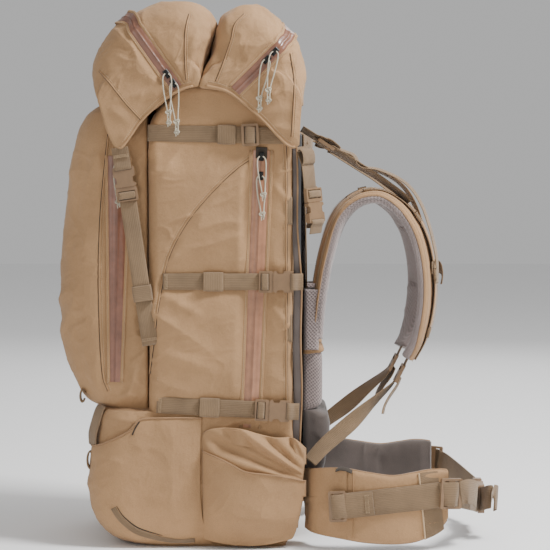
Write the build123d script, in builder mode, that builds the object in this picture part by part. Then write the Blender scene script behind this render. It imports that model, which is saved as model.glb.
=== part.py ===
"""A tall hunting backpack, standing on its base: main bag, pockets, lid, frame, harness, belt, buckles and zips.

Frame: +Z up, +Y towards the wearer, +X to the wearer's right. The origin is on the base, in millimetres.
Soft parts are plain closed solids of the right place and size. Each sub-part is one STEP file in parts/.
"""

from build123d import *
import math
import os

os.makedirs("parts", exist_ok=True)

# ---------------------------------------------------------------- driving dimensions
BAG_HALF = 150.0  # half the width of the main bag
BAG_BACK = 152.0  # the bag's face on the frame side
BAG_FRONT = -65.0  # the column's front, where the front pocket is sewn on
BASE_FRONT = -148.0  # the base compartment's front
BASE_TOP = 205.0
BAG_TOP = 700.0
BAG_WALL = 5.0
BAG_EDGE = 12.0  # the rounding along the side panels
PLAN_CORNER = 55.0  # the base's front corners, seen from above
MOUTH = (200.0, 56.0)  # the drawn collar's mouth, across and front to back
MOUTH_Y = 42.0

POCKET_HALF = 138.0  # front pocket
POCKET_BOTTOM = 206.0
POCKET_TOP = 668.0

LID_HALF = 164.0
LID_INNER = 152.6  # the inside of the lid's side flaps
LID_UNDER = 704.0  # the lid's underside over the bag
LID_SPLIT = 33.0  # the valley between the two lid pockets
LID_HINGE = (159.0, 594.0)  # (y, z) of the lid's hinge line

FRAME_FACE = 157.0  # the frame sheet's front
FRAME_SHEET = 3.0
FRAME_TOP = 638.0
PAD_BACK = 168.0  # where the back padding starts

WEBBING = 25.0  # width of the body webbing
WEBBING_THICK = 1.6
BELT_WEBBING = 38.0
ZIP_TAPE = 23.0
ZIP_THICK = 1.4
CORD = 2.0  # diameter of a zip pull's cord

SIDE_GAP = 0.2  # between the bag's side and what lies on it
STRAP_X = 158.0  # the middle of a side buckle's thickness


# ---------------------------------------------------------------- helpers
def save(part, name):
    """Labels one sub-part and writes its STEP file."""
    part.label = name
    export_step(part, f"parts/{name}.step")


def mirrored(part):
    """The same sub-part on the pack's other side."""
    return mirror(part, about=Plane.YZ)


def save_pair(part, stem):
    """Writes a right-hand sub-part and its mirror image."""
    save(part, f"{stem}_right")
    save(mirrored(part), f"{stem}_left")


def plane_along(origin, along, outward):
    """A plane at origin with local X along the strap and local Z out of its face."""
    return Plane(origin=origin, x_dir=along, z_dir=outward)


def flat_strap(plane, start, end, width, low, thick):
    """A straight piece of webbing in a plane's own frame, from start to end along its X."""
    with BuildPart(plane) as strap:
        with Locations(((start + end) / 2, 0, low + thick / 2)):
            Box(end - start, width, thick)
    return strap.part


def side_band(points, radius, thick, low, high):
    """A bent strip whose line is seen from the side, as (y, z) points, from x = low to high."""
    return outline_band(points, radius, thick, Plane.YZ, low, high)


def outline_band(points, radius, thick, plane, low, high):
    """A bent strip made from the closed outline of a line and its parallel."""
    with BuildPart() as strip:
        with BuildSketch(plane.offset(low)):
            with BuildLine():
                line = FilletPolyline(*points, radius=radius)
                offset(line, amount=thick / 2, side=Side.BOTH, mode=Mode.REPLACE)
            make_face()
        extrude(amount=high - low)
    return strip.part


# ---------------------------------------------------------------- main bag
BAG_OUTLINE = [
    (BAG_BACK, 0),
    (BAG_BACK, 635),
    (95, BAG_TOP),
    (-10, BAG_TOP),
    (BAG_FRONT, 640),
    (BAG_FRONT, BASE_TOP),
    (BASE_FRONT, BASE_TOP),
    (BASE_FRONT, 75),
    (-85, 0),
]
BAG_RADII = [24, 30, 40, 40, 30, 6, 16, 40, 55]


def bag_block(inset, half_width, edge=0.0):
    """The bag's outer form, inset by a distance: its side outline cut by its plan."""
    with BuildPart() as block:
        with BuildSketch(Plane.YZ):
            with BuildLine():
                FilletPolyline(*BAG_OUTLINE, radius=BAG_RADII, close=True)
            make_face()
            if inset:
                offset(amount=-inset, mode=Mode.REPLACE)
        extrude(amount=half_width, both=True)
        with BuildSketch(Plane.XY.offset(-20)):
            with Locations((0, (BASE_FRONT + BAG_BACK) / 2)):
                RectangleRounded(2 * half_width, BAG_BACK - BASE_FRONT - 2 * inset, PLAN_CORNER - inset)
            with Locations((0, BAG_BACK / 2 - inset)):
                RectangleRounded(2 * half_width, BAG_BACK, BAG_EDGE)
        extrude(amount=BAG_TOP + 60, mode=Mode.INTERSECT)
    return block.part


def main_bag():
    """The main compartment: a fabric shell, open only at the drawn collar on top."""
    with BuildPart() as bag:
        add(bag_block(0, BAG_HALF))
        add(bag_block(BAG_WALL, BAG_HALF - BAG_WALL), mode=Mode.SUBTRACT)
        with BuildSketch(Plane.XY.offset(BAG_TOP - 3 * BAG_WALL)):
            with Locations((0, MOUTH_Y)):
                RectangleRounded(*MOUTH, MOUTH[1] / 2 - 4)
        extrude(amount=6 * BAG_WALL, mode=Mode.SUBTRACT)
    return bag.part


# ---------------------------------------------------------------- pockets
def front_pocket():
    """The deep pocket on the bag's front, bowed forward and rounded at its front corners."""
    back = BAG_FRONT - 0.8
    with BuildPart() as pocket:
        with BuildSketch(Plane.YZ):
            with BuildLine():
                Polyline(
                    (-138, POCKET_BOTTOM), (back - 9, POCKET_BOTTOM), (back, POCKET_BOTTOM + 9),
                    (back, POCKET_TOP), (-128, POCKET_TOP),
                )
                Spline(
                    (-128, POCKET_TOP), (-158, 640), (-190, 560), (-206, 400),
                    (-198, 290), (-172, 232), (-138, POCKET_BOTTOM),
                )
            make_face()
        extrude(amount=POCKET_HALF, both=True)
        with BuildSketch(Plane.XY.offset(POCKET_BOTTOM - 10)):
            with Locations((0, back - 75)):
                RectangleRounded(2 * POCKET_HALF, 290, 62)
        extrude(amount=POCKET_TOP, mode=Mode.INTERSECT)
    return pocket.part


def base_pocket():
    """The stash pocket that wraps the base's front, with a sloping top edge."""
    skin, gap = 8.0, 0.6
    with BuildPart() as pocket:
        add(bag_block(-skin, BAG_HALF + skin))
        add(bag_block(-gap, BAG_HALF + gap), mode=Mode.SUBTRACT)
        with BuildSketch(Plane.YZ):
            with BuildLine():
                Polyline(
                    (14, 3), (14, 196), (-52, 198), (-80, 186), (-104, 160),
                    (-170, 118), (-170, 3), close=True,
                )
            make_face()
        extrude(amount=200, both=True, mode=Mode.INTERSECT)
    return pocket.part


BOTTLE_BACK = 172.0
BOTTLE_FRONT = 17.0
BOTTLE_OUT = 184.0


def bottle_pocket():
    """A side pocket for a bottle: a thin-walled bucket, open at the top."""
    wall, bottom, top = 4.0, 6.0, 184.0
    inner_face = BAG_HALF + 0.6
    middle_x = (inner_face + BOTTLE_OUT) / 2
    middle_y = (BOTTLE_FRONT + BOTTLE_BACK) / 2
    depth, length = BOTTLE_OUT - inner_face, BOTTLE_BACK - BOTTLE_FRONT
    with BuildPart() as pocket:
        with BuildSketch(Plane.XY.offset(bottom)):
            with Locations((middle_x, middle_y)):
                RectangleRounded(depth, length, 12)
        extrude(amount=top - bottom)
        with BuildSketch(Plane.XY.offset(bottom + wall)):
            with Locations((middle_x, middle_y)):
                RectangleRounded(depth - 2 * wall, length - 2 * wall, 8)
        extrude(amount=top, mode=Mode.SUBTRACT)
    return pocket.part


# ---------------------------------------------------------------- lid
def lid_side_cut(points):
    """An extrusion of a side outline, over the lid's full width."""
    with BuildPart() as block:
        with BuildSketch(Plane.YZ):
            with BuildLine():
                Polyline(*points, close=True)
            make_face()
        extrude(amount=LID_INNER, both=True)
    return block.part


def lid_front_pocket():
    """The lid's front pocket, with flaps that hang beside the bag down to the front straps."""
    split = LID_SPLIT - 0.5
    with BuildPart() as pocket:
        with BuildSketch(Plane.YZ):
            with BuildLine():
                Spline((split, 790), (8, 817), (-30, 820), (-75, 810), (-116, 785), (-146, 744), (-152, 700), (-136, 661), (-116, 606))
                Polyline((-116, 606), (-108, 600), (-98, 604), (-72, 640), (-45, 669), (-15, 687), (split, 694), (split, 790))
            make_face()
        extrude(amount=LID_HALF, both=True)
        add(
            lid_side_cut([(split + 5, LID_UNDER), (-70, LID_UNDER), (-72, 674), (-170, 672), (-170, 560), (split + 5, 560)]),
            mode=Mode.SUBTRACT,
        )
    return pocket.part


def lid_rear_pocket():
    """The lid's rear pocket, with flaps that hang beside the bag down to the hinge line."""
    split = LID_SPLIT + 0.5
    with BuildPart() as pocket:
        with BuildSketch(Plane.YZ):
            with BuildLine():
                Spline((split, 790), (60, 808), (90, 816), (118, 804), (146, 775), (163, 742), (168, 700), (163, 650), (161, 606))
                Polyline((161, 606), (154, 601), (142, 604), (114, 638), (78, 667), (split, 694), (split, 790))
            make_face()
        extrude(amount=LID_HALF, both=True)
        add(
            lid_side_cut([(split - 5, LID_UNDER), (BAG_BACK + 1.5, LID_UNDER), (BAG_BACK + 1.5, 668), (190, 668), (190, 560), (split - 5, 560)]),
            mode=Mode.SUBTRACT,
        )
    return pocket.part


# ---------------------------------------------------------------- zips
def zip_strip(start, end, face, width=ZIP_TAPE):
    """A straight closed zip on a side panel: its tape and the ridge over its coil. start and end are (y, z)."""
    along = (0, end[0] - start[0], end[1] - start[1])
    length = math.hypot(along[1], along[2])
    middle = (face, (start[0] + end[0]) / 2, (start[1] + end[1]) / 2)
    with BuildPart(plane_along(middle, along, (1, 0, 0))) as strip:
        with Locations((0, 0, ZIP_THICK / 2)):
            Box(length, width, ZIP_THICK)
        with Locations((0, 0, ZIP_THICK)):
            Box(length, 5, 2, align=(Align.CENTER, Align.CENTER, Align.CENTER))
    return strip.part


SIDE_ZIP = ((105.0, 598.0), (88.5, 200.0))  # (y, z) of its top and bottom
FRONT_ZIP = ((-110.0, 590.0), (-116.0, 250.0))
LID_FRONT_ZIP = ((-88.0, 786.0), (-20.0, 690.0))
LID_REAR_ZIP = ((143.0, 762.0), (66.0, 686.0))

SLIDER_LONG, SLIDER_WIDE, SLIDER_HIGH = 13.0, 8.0, 4.0
SLIDER_LIFT = 2.9  # the slider's underside above the tape's back
BRIDGE_LONG, BRIDGE_WIDE, BRIDGE_HIGH = 7.0, 3.2, 2.4


def slider(zip_line, distance, face):
    """A zip slider at a distance down its zip, with the bridge that its cord goes through.

    Returns the part and the middle of the bridge.
    """
    (y0, z0), (y1, z1) = zip_line
    run = math.hypot(y1 - y0, z1 - z0)
    unit = ((y1 - y0) / run, (z1 - z0) / run)
    y, z = y0 + unit[0] * distance, z0 + unit[1] * distance
    top = face + SLIDER_LIFT + SLIDER_HIGH
    bridge = (top + BRIDGE_HIGH / 2, y, z)
    with BuildPart(plane_along((top, y, z), (0, *unit), (1, 0, 0))) as body:
        with Locations((0, 0, -SLIDER_HIGH / 2)):
            Box(SLIDER_LONG, SLIDER_WIDE, SLIDER_HIGH)
        chamfer(body.edges().group_by(Axis.X)[-1], 1.0)
    with BuildPart() as whole:
        add(body.part)
        with Locations(bridge):
            Box(BRIDGE_HIGH, BRIDGE_WIDE, BRIDGE_LONG)
    return whole.part, bridge


PULL_SHAPE = [  # (drop, sideways) points of a pull's loop, from one side of the bridge to the other
    (0, 2.3), (1.5, 4.9), (7, 6.6), (18, 6.2), (34, 4.6), (48, 2.5), (56, 2.1), (60.5, 2.35),
    (60.5, -2.35), (56, -2.2), (48, -2.9), (34, -5.1), (18, -6.7), (7, -6.5), (1.5, -4.8), (0, -2.3),
]
PULL_LIFT = 3.6  # how far an upper pull lies outside the lower one
PULL_RISE = 10.0  # the drop over which an upper pull rises clear of the lower slider
RADIUS_SHARE = 0.45  # an arc takes this share of its shorter run


def corner_radius(a, b, c):
    """The radius of the arc at b, as large as its two runs allow."""
    a, b, c = Vector(a), Vector(b), Vector(c)
    turn = math.radians((b - a).get_angle(c - b))
    return RADIUS_SHARE * min((b - a).length, (c - b).length) / math.tan(turn / 2)


def pull_cord(top, lean, lift):
    """A looped cord that hangs from a slider's bridge: down one strand, round, and back up the other."""
    x, y, z = top
    path = [
        (x + lift * min(drop / PULL_RISE, 1), y + sideways + lean * drop, z - drop)
        for drop, sideways in PULL_SHAPE
    ]
    radii = [corner_radius(*path[i - 1 : i + 2]) for i in range(1, len(path) - 1)]
    with BuildPart() as cord:
        with BuildLine():
            route = FilletPolyline(*path, radius=radii)
        with BuildSketch(Plane(origin=route @ 0, z_dir=route % 0)):
            Circle(CORD / 2)
        sweep()
    tube = math.pi * CORD**2 / 4 * route.length
    print(f"pull: length {route.length:.1f} tightest {min(radii):.2f} volume {cord.part.volume / tube:.3f}")
    print("  radii", " ".join(f"{radius:.1f}" for radius in radii))
    return cord.part


# ---------------------------------------------------------------- side-release buckles
def buckle_scale(width):
    """How large a buckle is for its webbing, against one for the body webbing."""
    return width / WEBBING


def buckle_plug(plane, width=WEBBING):
    """The half with two arms and a ladder for the webbing. Local X points into the socket from its mouth."""
    k = buckle_scale(width)
    half, thick = width / 2 + 3.5, 6.4 * k
    with BuildPart(plane) as plug:
        with BuildSketch(plane):
            with Locations((-10.5 * k, 0)):
                RectangleRounded(21 * k, 2 * half, 2.5 * k)
            with Locations((-16.5 * k, 0), (-7.5 * k, 0)):
                Rectangle(4.2 * k, width + 0.8, mode=Mode.SUBTRACT)
        extrude(amount=thick / 2, both=True)
        with BuildSketch(plane):
            with Locations((9.3 * k, 8.9 * k), (9.3 * k, -8.9 * k)):
                RectangleRounded(20.6 * k, 4.4 * k, 1.6 * k)
            with Locations((6.2 * k, 0)):
                RectangleRounded(14 * k, 3.4 * k, 1.2 * k)
        extrude(amount=2.3 * k, both=True)
    return plug.part


def buckle_socket(plane, width=WEBBING):
    """The half that takes the arms, with an open notch on each side and a bar for its webbing."""
    k = buckle_scale(width)
    half, thick = width / 2 + 3.5, 8.4 * k
    mouth, cavity, body, total = 0.4, 21.5 * k, 24 * k, 31 * k
    with BuildPart(plane) as socket:
        with BuildSketch(plane):
            with Locations(((mouth + total) / 2, 0)):
                RectangleRounded(total - mouth, 2 * half, 3 * k)
            with Locations((11 * k, half), (11 * k, -half)):
                SlotOverall(11 * k, 2 * (half - 12.2 * k), mode=Mode.SUBTRACT)
            with Locations(((body + total) / 2 - 0.4 * k, 0)):
                Rectangle(3.4 * k, width + 0.8, mode=Mode.SUBTRACT)
        extrude(amount=thick / 2, both=True)
        with Locations((cavity / 2, 0, 0)):
            Box(cavity, 26.6 * k, 6.0 * k, mode=Mode.SUBTRACT)
    return socket.part


def strap_to_plug(plane, length, width=WEBBING):
    """Webbing that runs under a plug's ladder, clear of it so that the plug can slide."""
    k = buckle_scale(width)
    low = -3.2 * k - 0.4 - WEBBING_THICK
    return flat_strap(plane, -length, -2, width, low, WEBBING_THICK)


def strap_from_socket(plane, length, width=WEBBING):
    """Webbing from a socket's bar on."""
    k = buckle_scale(width)
    return flat_strap(plane, 31 * k + 0.3, 31 * k + length, width, -WEBBING_THICK / 2, WEBBING_THICK)


OUT = (1, 0, 0)
UPPER_STRAP = plane_along((STRAP_X, 122, 402), (0, 1, 0), OUT)
LOWER_STRAP = plane_along((STRAP_X, 116, 209), (0, 1, -0.045), OUT)
LID_STRAP = plane_along((STRAP_X, -97, 543), (0, -0.148, 0.989), OUT)
REAR_STRAP = plane_along((148, 183, 521), (0, 0.10, -0.995), (0.72, 0.69, 0.07))
BELT_BUCKLE = plane_along((14, 447, 56), (-1, 0, 0), (0, 1, 0))
STERNUM_BUCKLE = plane_along((8, 371, 420), (-1, 0, 0), (0, 1, 0))
STERNUM_WEBBING = 20.0


# ---------------------------------------------------------------- ladder locks and other hardware
def ladder_lock(plane, width, long=24.0, thick=5.0):
    """A plastic frame with two slots, which webbing threads through."""
    with BuildPart() as lock:
        with BuildSketch(plane):
            RectangleRounded(long, width + 8, 3)
            with Locations((-long / 4, 0), (long / 4, 0)):
                Rectangle(long / 5, width + 1, mode=Mode.SUBTRACT)
        extrude(amount=thick / 2, both=True)
    return lock.part


LIFTER_LOCK = plane_along((79, 203, 608), (0, 0.835, -0.55), (0, 0.55, 0.835))
LIFTER_START, LIFTER_END = (79, 172, 630), (79, 318, 535)
LOWER_LOCK = plane_along((84, 316, 258), (0, 0.46, 0.89), (0, 0.89, -0.46))
TOP_LOCK = plane_along((STRAP_X - 1, 88, 621), (0, 1, 0.05), OUT)
BELT_RING = plane_along((180.5, 218, 68), (0.07, 1, 0.05), (1, -0.07, 0))
BELT_LOCK = plane_along((173.5, 388, 86), (-0.30, 0.95, -0.05), (0.95, 0.30, 0))


def ladder_locks():
    """Load lifters, strap ends, top straps and belt: ten frames of four kinds."""
    with BuildPart() as locks:
        add(ladder_lock(LIFTER_LOCK, WEBBING, long=30))
        add(ladder_lock(LOWER_LOCK, WEBBING, long=30))
        add(ladder_lock(TOP_LOCK, WEBBING, long=26))
        add(ladder_lock(BELT_RING, BELT_WEBBING, long=26))
        add(ladder_lock(BELT_LOCK, BELT_WEBBING, long=34))
        mirror(about=Plane.YZ)
    return locks.part


def strap_between(start, end, width, thick, outward):
    """A straight strip of webbing from one point to another, its face turned outward."""
    along = Vector(end) - Vector(start)
    middle = (Vector(end) + Vector(start)) / 2
    unit = along.normalized()
    face = Vector(outward) - unit * unit.dot(Vector(outward))
    plane = plane_along(middle, unit, face)
    return flat_strap(plane, -along.length / 2, along.length / 2, width, -thick / 2, thick)


# ---------------------------------------------------------------- harness
STRAP_LINE = [
    (188, 313), (194, 372), (206, 438), (226, 494), (256, 524), (288, 528),
    (320, 508), (344, 470), (356, 420), (357, 365), (347, 315), (331, 284),
]
STRAP_THICK = 15.0
STRAP_INNER, STRAP_OUTER = 48.0, 118.0


def shoulder_strap():
    """A padded shoulder strap: one bowed band from the yoke over the shoulder to its lower end."""
    return side_band(STRAP_LINE, 45, STRAP_THICK, STRAP_INNER, STRAP_OUTER)


def back_pad():
    """The mid-back pad, with a shallow channel down its middle."""
    with BuildPart() as pad:
        with Locations((0, PAD_BACK + 15, 251)):
            Box(210, 30, 96)
        fillet(pad.edges().filter_by(Axis.Z), 11)
        with Locations((0, PAD_BACK + 30, 251)):
            Box(30, 14, 96, mode=Mode.SUBTRACT)
    return pad.part


def lumbar_pad():
    """The lumbar pad, thickest at its top."""
    with BuildPart() as pad:
        with BuildSketch(Plane.YZ):
            with BuildLine():
                FilletPolyline(
                    (PAD_BACK, 108), (198, 108), (207, 160), (204, 201), (PAD_BACK, 201),
                    radius=[1, 8, 20, 12, 1], close=True,
                )
            make_face()
        extrude(amount=104, both=True)
    return pad.part


def frame_sheet():
    """The plastic frame sheet behind the bag."""
    with BuildPart() as sheet:
        with BuildSketch(Plane.XZ.offset(-FRAME_FACE)):
            with Locations((0, (40 + FRAME_TOP) / 2)):
                RectangleRounded(2 * 140, FRAME_TOP - 40, 30)
            with Locations((0, 470), (0, 350)):
                SlotOverall(120, 34, mode=Mode.SUBTRACT)
        extrude(amount=-FRAME_SHEET)
    return sheet.part


def frame_stays():
    """Two flat stays that stiffen the sheet."""
    with BuildPart() as stays:
        with BuildSketch(Plane.XZ.offset(-(FRAME_FACE + FRAME_SHEET + 0.4))):
            with Locations((80, 345), (-80, 345)):
                RectangleRounded(25, 560, 5)
        extrude(amount=-4.5)
    return stays.part


def haul_handle():
    """A bowed webbing handle at the top of the frame."""
    return outline_band(
        [(-46, 169.6), (-30, 181.5), (30, 181.5), (46, 169.6)], 12, 2.6, Plane.XY, 600, 625
    )


def harness_webbing():
    """The load lifters and the lower straps, each straight from its anchor to its ladder lock."""
    with BuildPart() as webbing:
        add(strap_between((79, 173, 628), (79, 189, 617.5), WEBBING, WEBBING_THICK, (0, 0.55, 0.835)))
        add(strap_between((79, 218, 598.5), LIFTER_END, WEBBING, WEBBING_THICK, (0, 0.55, 0.835)))
        add(strap_between((131, 182, 134), (86, 306, 240), WEBBING, WEBBING_THICK, (0.35, -0.62, 0.70)))
        mirror(about=Plane.YZ)
    return webbing.part


# ---------------------------------------------------------------- hip belt
WING_LINE = [(112, 180), (146, 196), (164, 240), (168, 300), (163, 345), (154, 384)]
WING_THICK = 15.0


def belt_wing():
    """A padded hip belt wing, bowed round the waist, with a rounded end."""
    with BuildPart() as wing:
        add(outline_band(WING_LINE, 22, WING_THICK, Plane.XY, 14, 118))
        with BuildSketch(Plane.YZ.offset(90)):
            with BuildLine():
                FilletPolyline(
                    (150, 24), (250, 14), (330, 14), (394, 40), (392, 116), (300, 112), (150, 118),
                    radius=[4, 40, 40, 34, 20, 40, 4], close=True,
                )
            make_face()
        extrude(amount=110, mode=Mode.INTERSECT)
    return wing.part


def belt_webbing():
    """The belt's outer webbing on each wing, and what runs on towards the buckle."""
    inner_y = BELT_BUCKLE.origin.Y - 6.8
    with BuildPart() as webbing:
        add(strap_between((180.6, 233, 69), (176.5, 368, 84), BELT_WEBBING, WEBBING_THICK, OUT))
        mirror(about=Plane.YZ)
        add(strap_between((162, 406, 81), (48, inner_y, 57), BELT_WEBBING, WEBBING_THICK, (0.3, 0.95, 0)))
        add(strap_between((48, inner_y, 57), (18, inner_y, 56), BELT_WEBBING, WEBBING_THICK, (0, 1, 0)))
        add(strap_between((-162, 406, 81), (-36.5, 447, 57), BELT_WEBBING, WEBBING_THICK, (-0.3, 0.95, 0)))
    return webbing.part


# ---------------------------------------------------------------- build and save
def build_bag():
    save(main_bag(), "main_bag")
    save(front_pocket(), "front_pocket")
    save(base_pocket(), "base_pocket")
    save_pair(bottle_pocket(), "bottle_pocket")


def build_lid():
    save(lid_front_pocket(), "lid_front_pocket")
    save(lid_rear_pocket(), "lid_rear_pocket")


def save_zips(zip_line, face, width, name):
    """Writes one zip's strips on both of the pack's sides as one node."""
    with BuildPart() as strips:
        add(zip_strip(*zip_line, face, width))
        mirror(about=Plane.YZ)
    save(strips.part, name)


def build_zips():
    save_zips(SIDE_ZIP, BAG_HALF + SIDE_GAP, ZIP_TAPE, "side_zips")
    save_zips(FRONT_ZIP, POCKET_HALF + SIDE_GAP, 16, "front_zips")
    save_zips(LID_FRONT_ZIP, LID_HALF + SIDE_GAP, 16, "lid_front_zip")
    save_zips(LID_REAR_ZIP, LID_HALF + SIDE_GAP, 16, "lid_rear_zip")


def build_slider(name, zip_line, distance, face, lift=0.0, lean=0.0, both_sides=False):
    """Saves a slider and the pull cord that hangs from it, on one side or both."""
    body, bridge = slider(zip_line, distance, face)
    cord = pull_cord(bridge, lean, lift)
    if both_sides:
        save_pair(body, f"{name}_slider")
        save_pair(cord, f"{name}_pull")
    else:
        save(body, f"{name}_slider")
        save(cord, f"{name}_pull")


def build_sliders():
    side_face = BAG_HALF + SIDE_GAP
    lid_face = LID_HALF + SIDE_GAP
    build_slider("side_zip_upper", SIDE_ZIP, 9, side_face, lift=PULL_LIFT, lean=0.06, both_sides=True)
    build_slider("side_zip_lower", SIDE_ZIP, 38, side_face, lean=0.05, both_sides=True)
    build_slider("front_zip", FRONT_ZIP, 12, POCKET_HALF + SIDE_GAP, lean=0.02, both_sides=True)
    build_slider("lid_front_upper", LID_FRONT_ZIP, 92, lid_face, lift=PULL_LIFT, lean=0.05)
    build_slider("lid_front_lower", LID_FRONT_ZIP, 109, lid_face, lean=0.08)
    build_slider("lid_rear_upper", LID_REAR_ZIP, 26, lid_face, lift=PULL_LIFT, lean=-0.16)
    build_slider("lid_rear_lower", LID_REAR_ZIP, 43, lid_face, lean=-0.18)


def build_buckles():
    save_pair(buckle_plug(UPPER_STRAP), "compression_upper_plug")
    save_pair(buckle_plug(LOWER_STRAP), "compression_lower_plug")
    save_pair(buckle_plug(LID_STRAP), "lid_strap_plug")
    save_pair(buckle_plug(REAR_STRAP), "rear_strap_plug")
    save(buckle_plug(BELT_BUCKLE, BELT_WEBBING), "belt_plug")
    save(buckle_socket(BELT_BUCKLE, BELT_WEBBING), "belt_socket")
    save(buckle_plug(STERNUM_BUCKLE, STERNUM_WEBBING), "sternum_plug")
    save(buckle_socket(STERNUM_BUCKLE, STERNUM_WEBBING), "sternum_socket")
    with BuildPart() as sockets:
        for plane in (UPPER_STRAP, LOWER_STRAP, REAR_STRAP):
            add(buckle_socket(plane))
        mirror(about=Plane.YZ)
    save(sockets.part, "strap_sockets")
    with BuildPart() as lid_sockets:
        add(buckle_socket(LID_STRAP))
        add(strap_from_socket(LID_STRAP, 24))
        mirror(about=Plane.YZ)
    save(lid_sockets.part, "lid_sockets")


def build_webbing():
    with BuildPart() as compression:
        add(strap_to_plug(UPPER_STRAP, 164))
        add(strap_to_plug(LOWER_STRAP, 168))
        add(strap_from_socket(UPPER_STRAP, 14))
        add(strap_from_socket(LOWER_STRAP, 14))
        add(strap_between((151, -60, 624), (151, 74, 621), WEBBING, WEBBING_THICK, OUT))
        mirror(about=Plane.YZ)
    save(compression.part, "compression_webbing")
    with BuildPart() as lid_straps:
        add(strap_to_plug(LID_STRAP, 238))
        add(strap_to_plug(REAR_STRAP, 56))
        add(strap_from_socket(REAR_STRAP, 16))
        mirror(about=Plane.YZ)
    save(lid_straps.part, "lid_webbing")
    save(harness_webbing(), "harness_webbing")
    save(belt_webbing(), "belt_webbing")
    with BuildPart() as sternum:
        add(strap_between((96, 366.2, 420), (12, 366.8, 420), STERNUM_WEBBING, WEBBING_THICK, (0, 1, 0)))
        add(strap_between((-96, 367, 420), (-17.5, 371, 420), STERNUM_WEBBING, WEBBING_THICK, (0, 1, 0)))
    save(sternum.part, "sternum_webbing")


def build_harness():
    save(frame_sheet(), "frame_sheet")
    save(frame_stays(), "frame_stays")
    save(back_pad(), "back_pad")
    save(lumbar_pad(), "lumbar_pad")
    save(haul_handle(), "haul_handle")
    save(ladder_locks(), "ladder_locks")
    save_pair(shoulder_strap(), "shoulder_strap")
    save_pair(belt_wing(), "belt_wing")


build_bag()
build_lid()
build_zips()
build_sliders()
build_buckles()
build_webbing()
build_harness()
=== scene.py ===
"""The looks of a tall hunting backpack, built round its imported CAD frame: fabric, webbing, zips, foam and hardware.

Lengths are in millimetres until a mesh is made, and the mesh is in metres. +X is the wearer's right, +Y is
towards the wearer's back, and +Z is up.
"""
import itertools
import math

import bpy
import numpy as np
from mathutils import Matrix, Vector
from mathutils.bvhtree import BVHTree


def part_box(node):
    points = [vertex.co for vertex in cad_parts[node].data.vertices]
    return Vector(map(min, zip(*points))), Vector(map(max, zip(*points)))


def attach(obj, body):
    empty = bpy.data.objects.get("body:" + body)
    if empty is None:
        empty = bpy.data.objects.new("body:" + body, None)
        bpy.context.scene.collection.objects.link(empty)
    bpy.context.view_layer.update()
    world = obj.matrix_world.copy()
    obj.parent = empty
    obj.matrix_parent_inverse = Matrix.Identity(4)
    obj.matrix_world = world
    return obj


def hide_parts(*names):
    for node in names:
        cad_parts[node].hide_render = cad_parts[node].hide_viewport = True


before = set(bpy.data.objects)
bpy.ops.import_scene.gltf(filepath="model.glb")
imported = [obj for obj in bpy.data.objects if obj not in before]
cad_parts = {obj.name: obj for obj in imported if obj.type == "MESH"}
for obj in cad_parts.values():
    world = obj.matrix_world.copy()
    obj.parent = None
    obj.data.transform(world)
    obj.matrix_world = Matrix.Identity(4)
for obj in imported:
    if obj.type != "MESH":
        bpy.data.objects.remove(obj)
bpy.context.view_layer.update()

MM = 0.001
SIDES = {"right": 1.0, "left": -1.0}


# ================================================================ numbers read from the frame
def span(node):
    """A CAD node's lowest and highest corners, in millimetres."""
    low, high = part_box(node)
    return np.array(low) / MM, np.array(high) / MM


BASE_FRONT = span("main_bag")[0][1]
BAG_HALF, BAG_BACK, BAG_TOP = span("main_bag")[1]
POCKET_LOW, POCKET_HIGH = span("front_pocket")
LID_HALF = span("lid_front_pocket")[1][0]
BOTTLE_FACE = span("bottle_pocket_right")[1][0]
COLUMN_FRONT = -65.0


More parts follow.
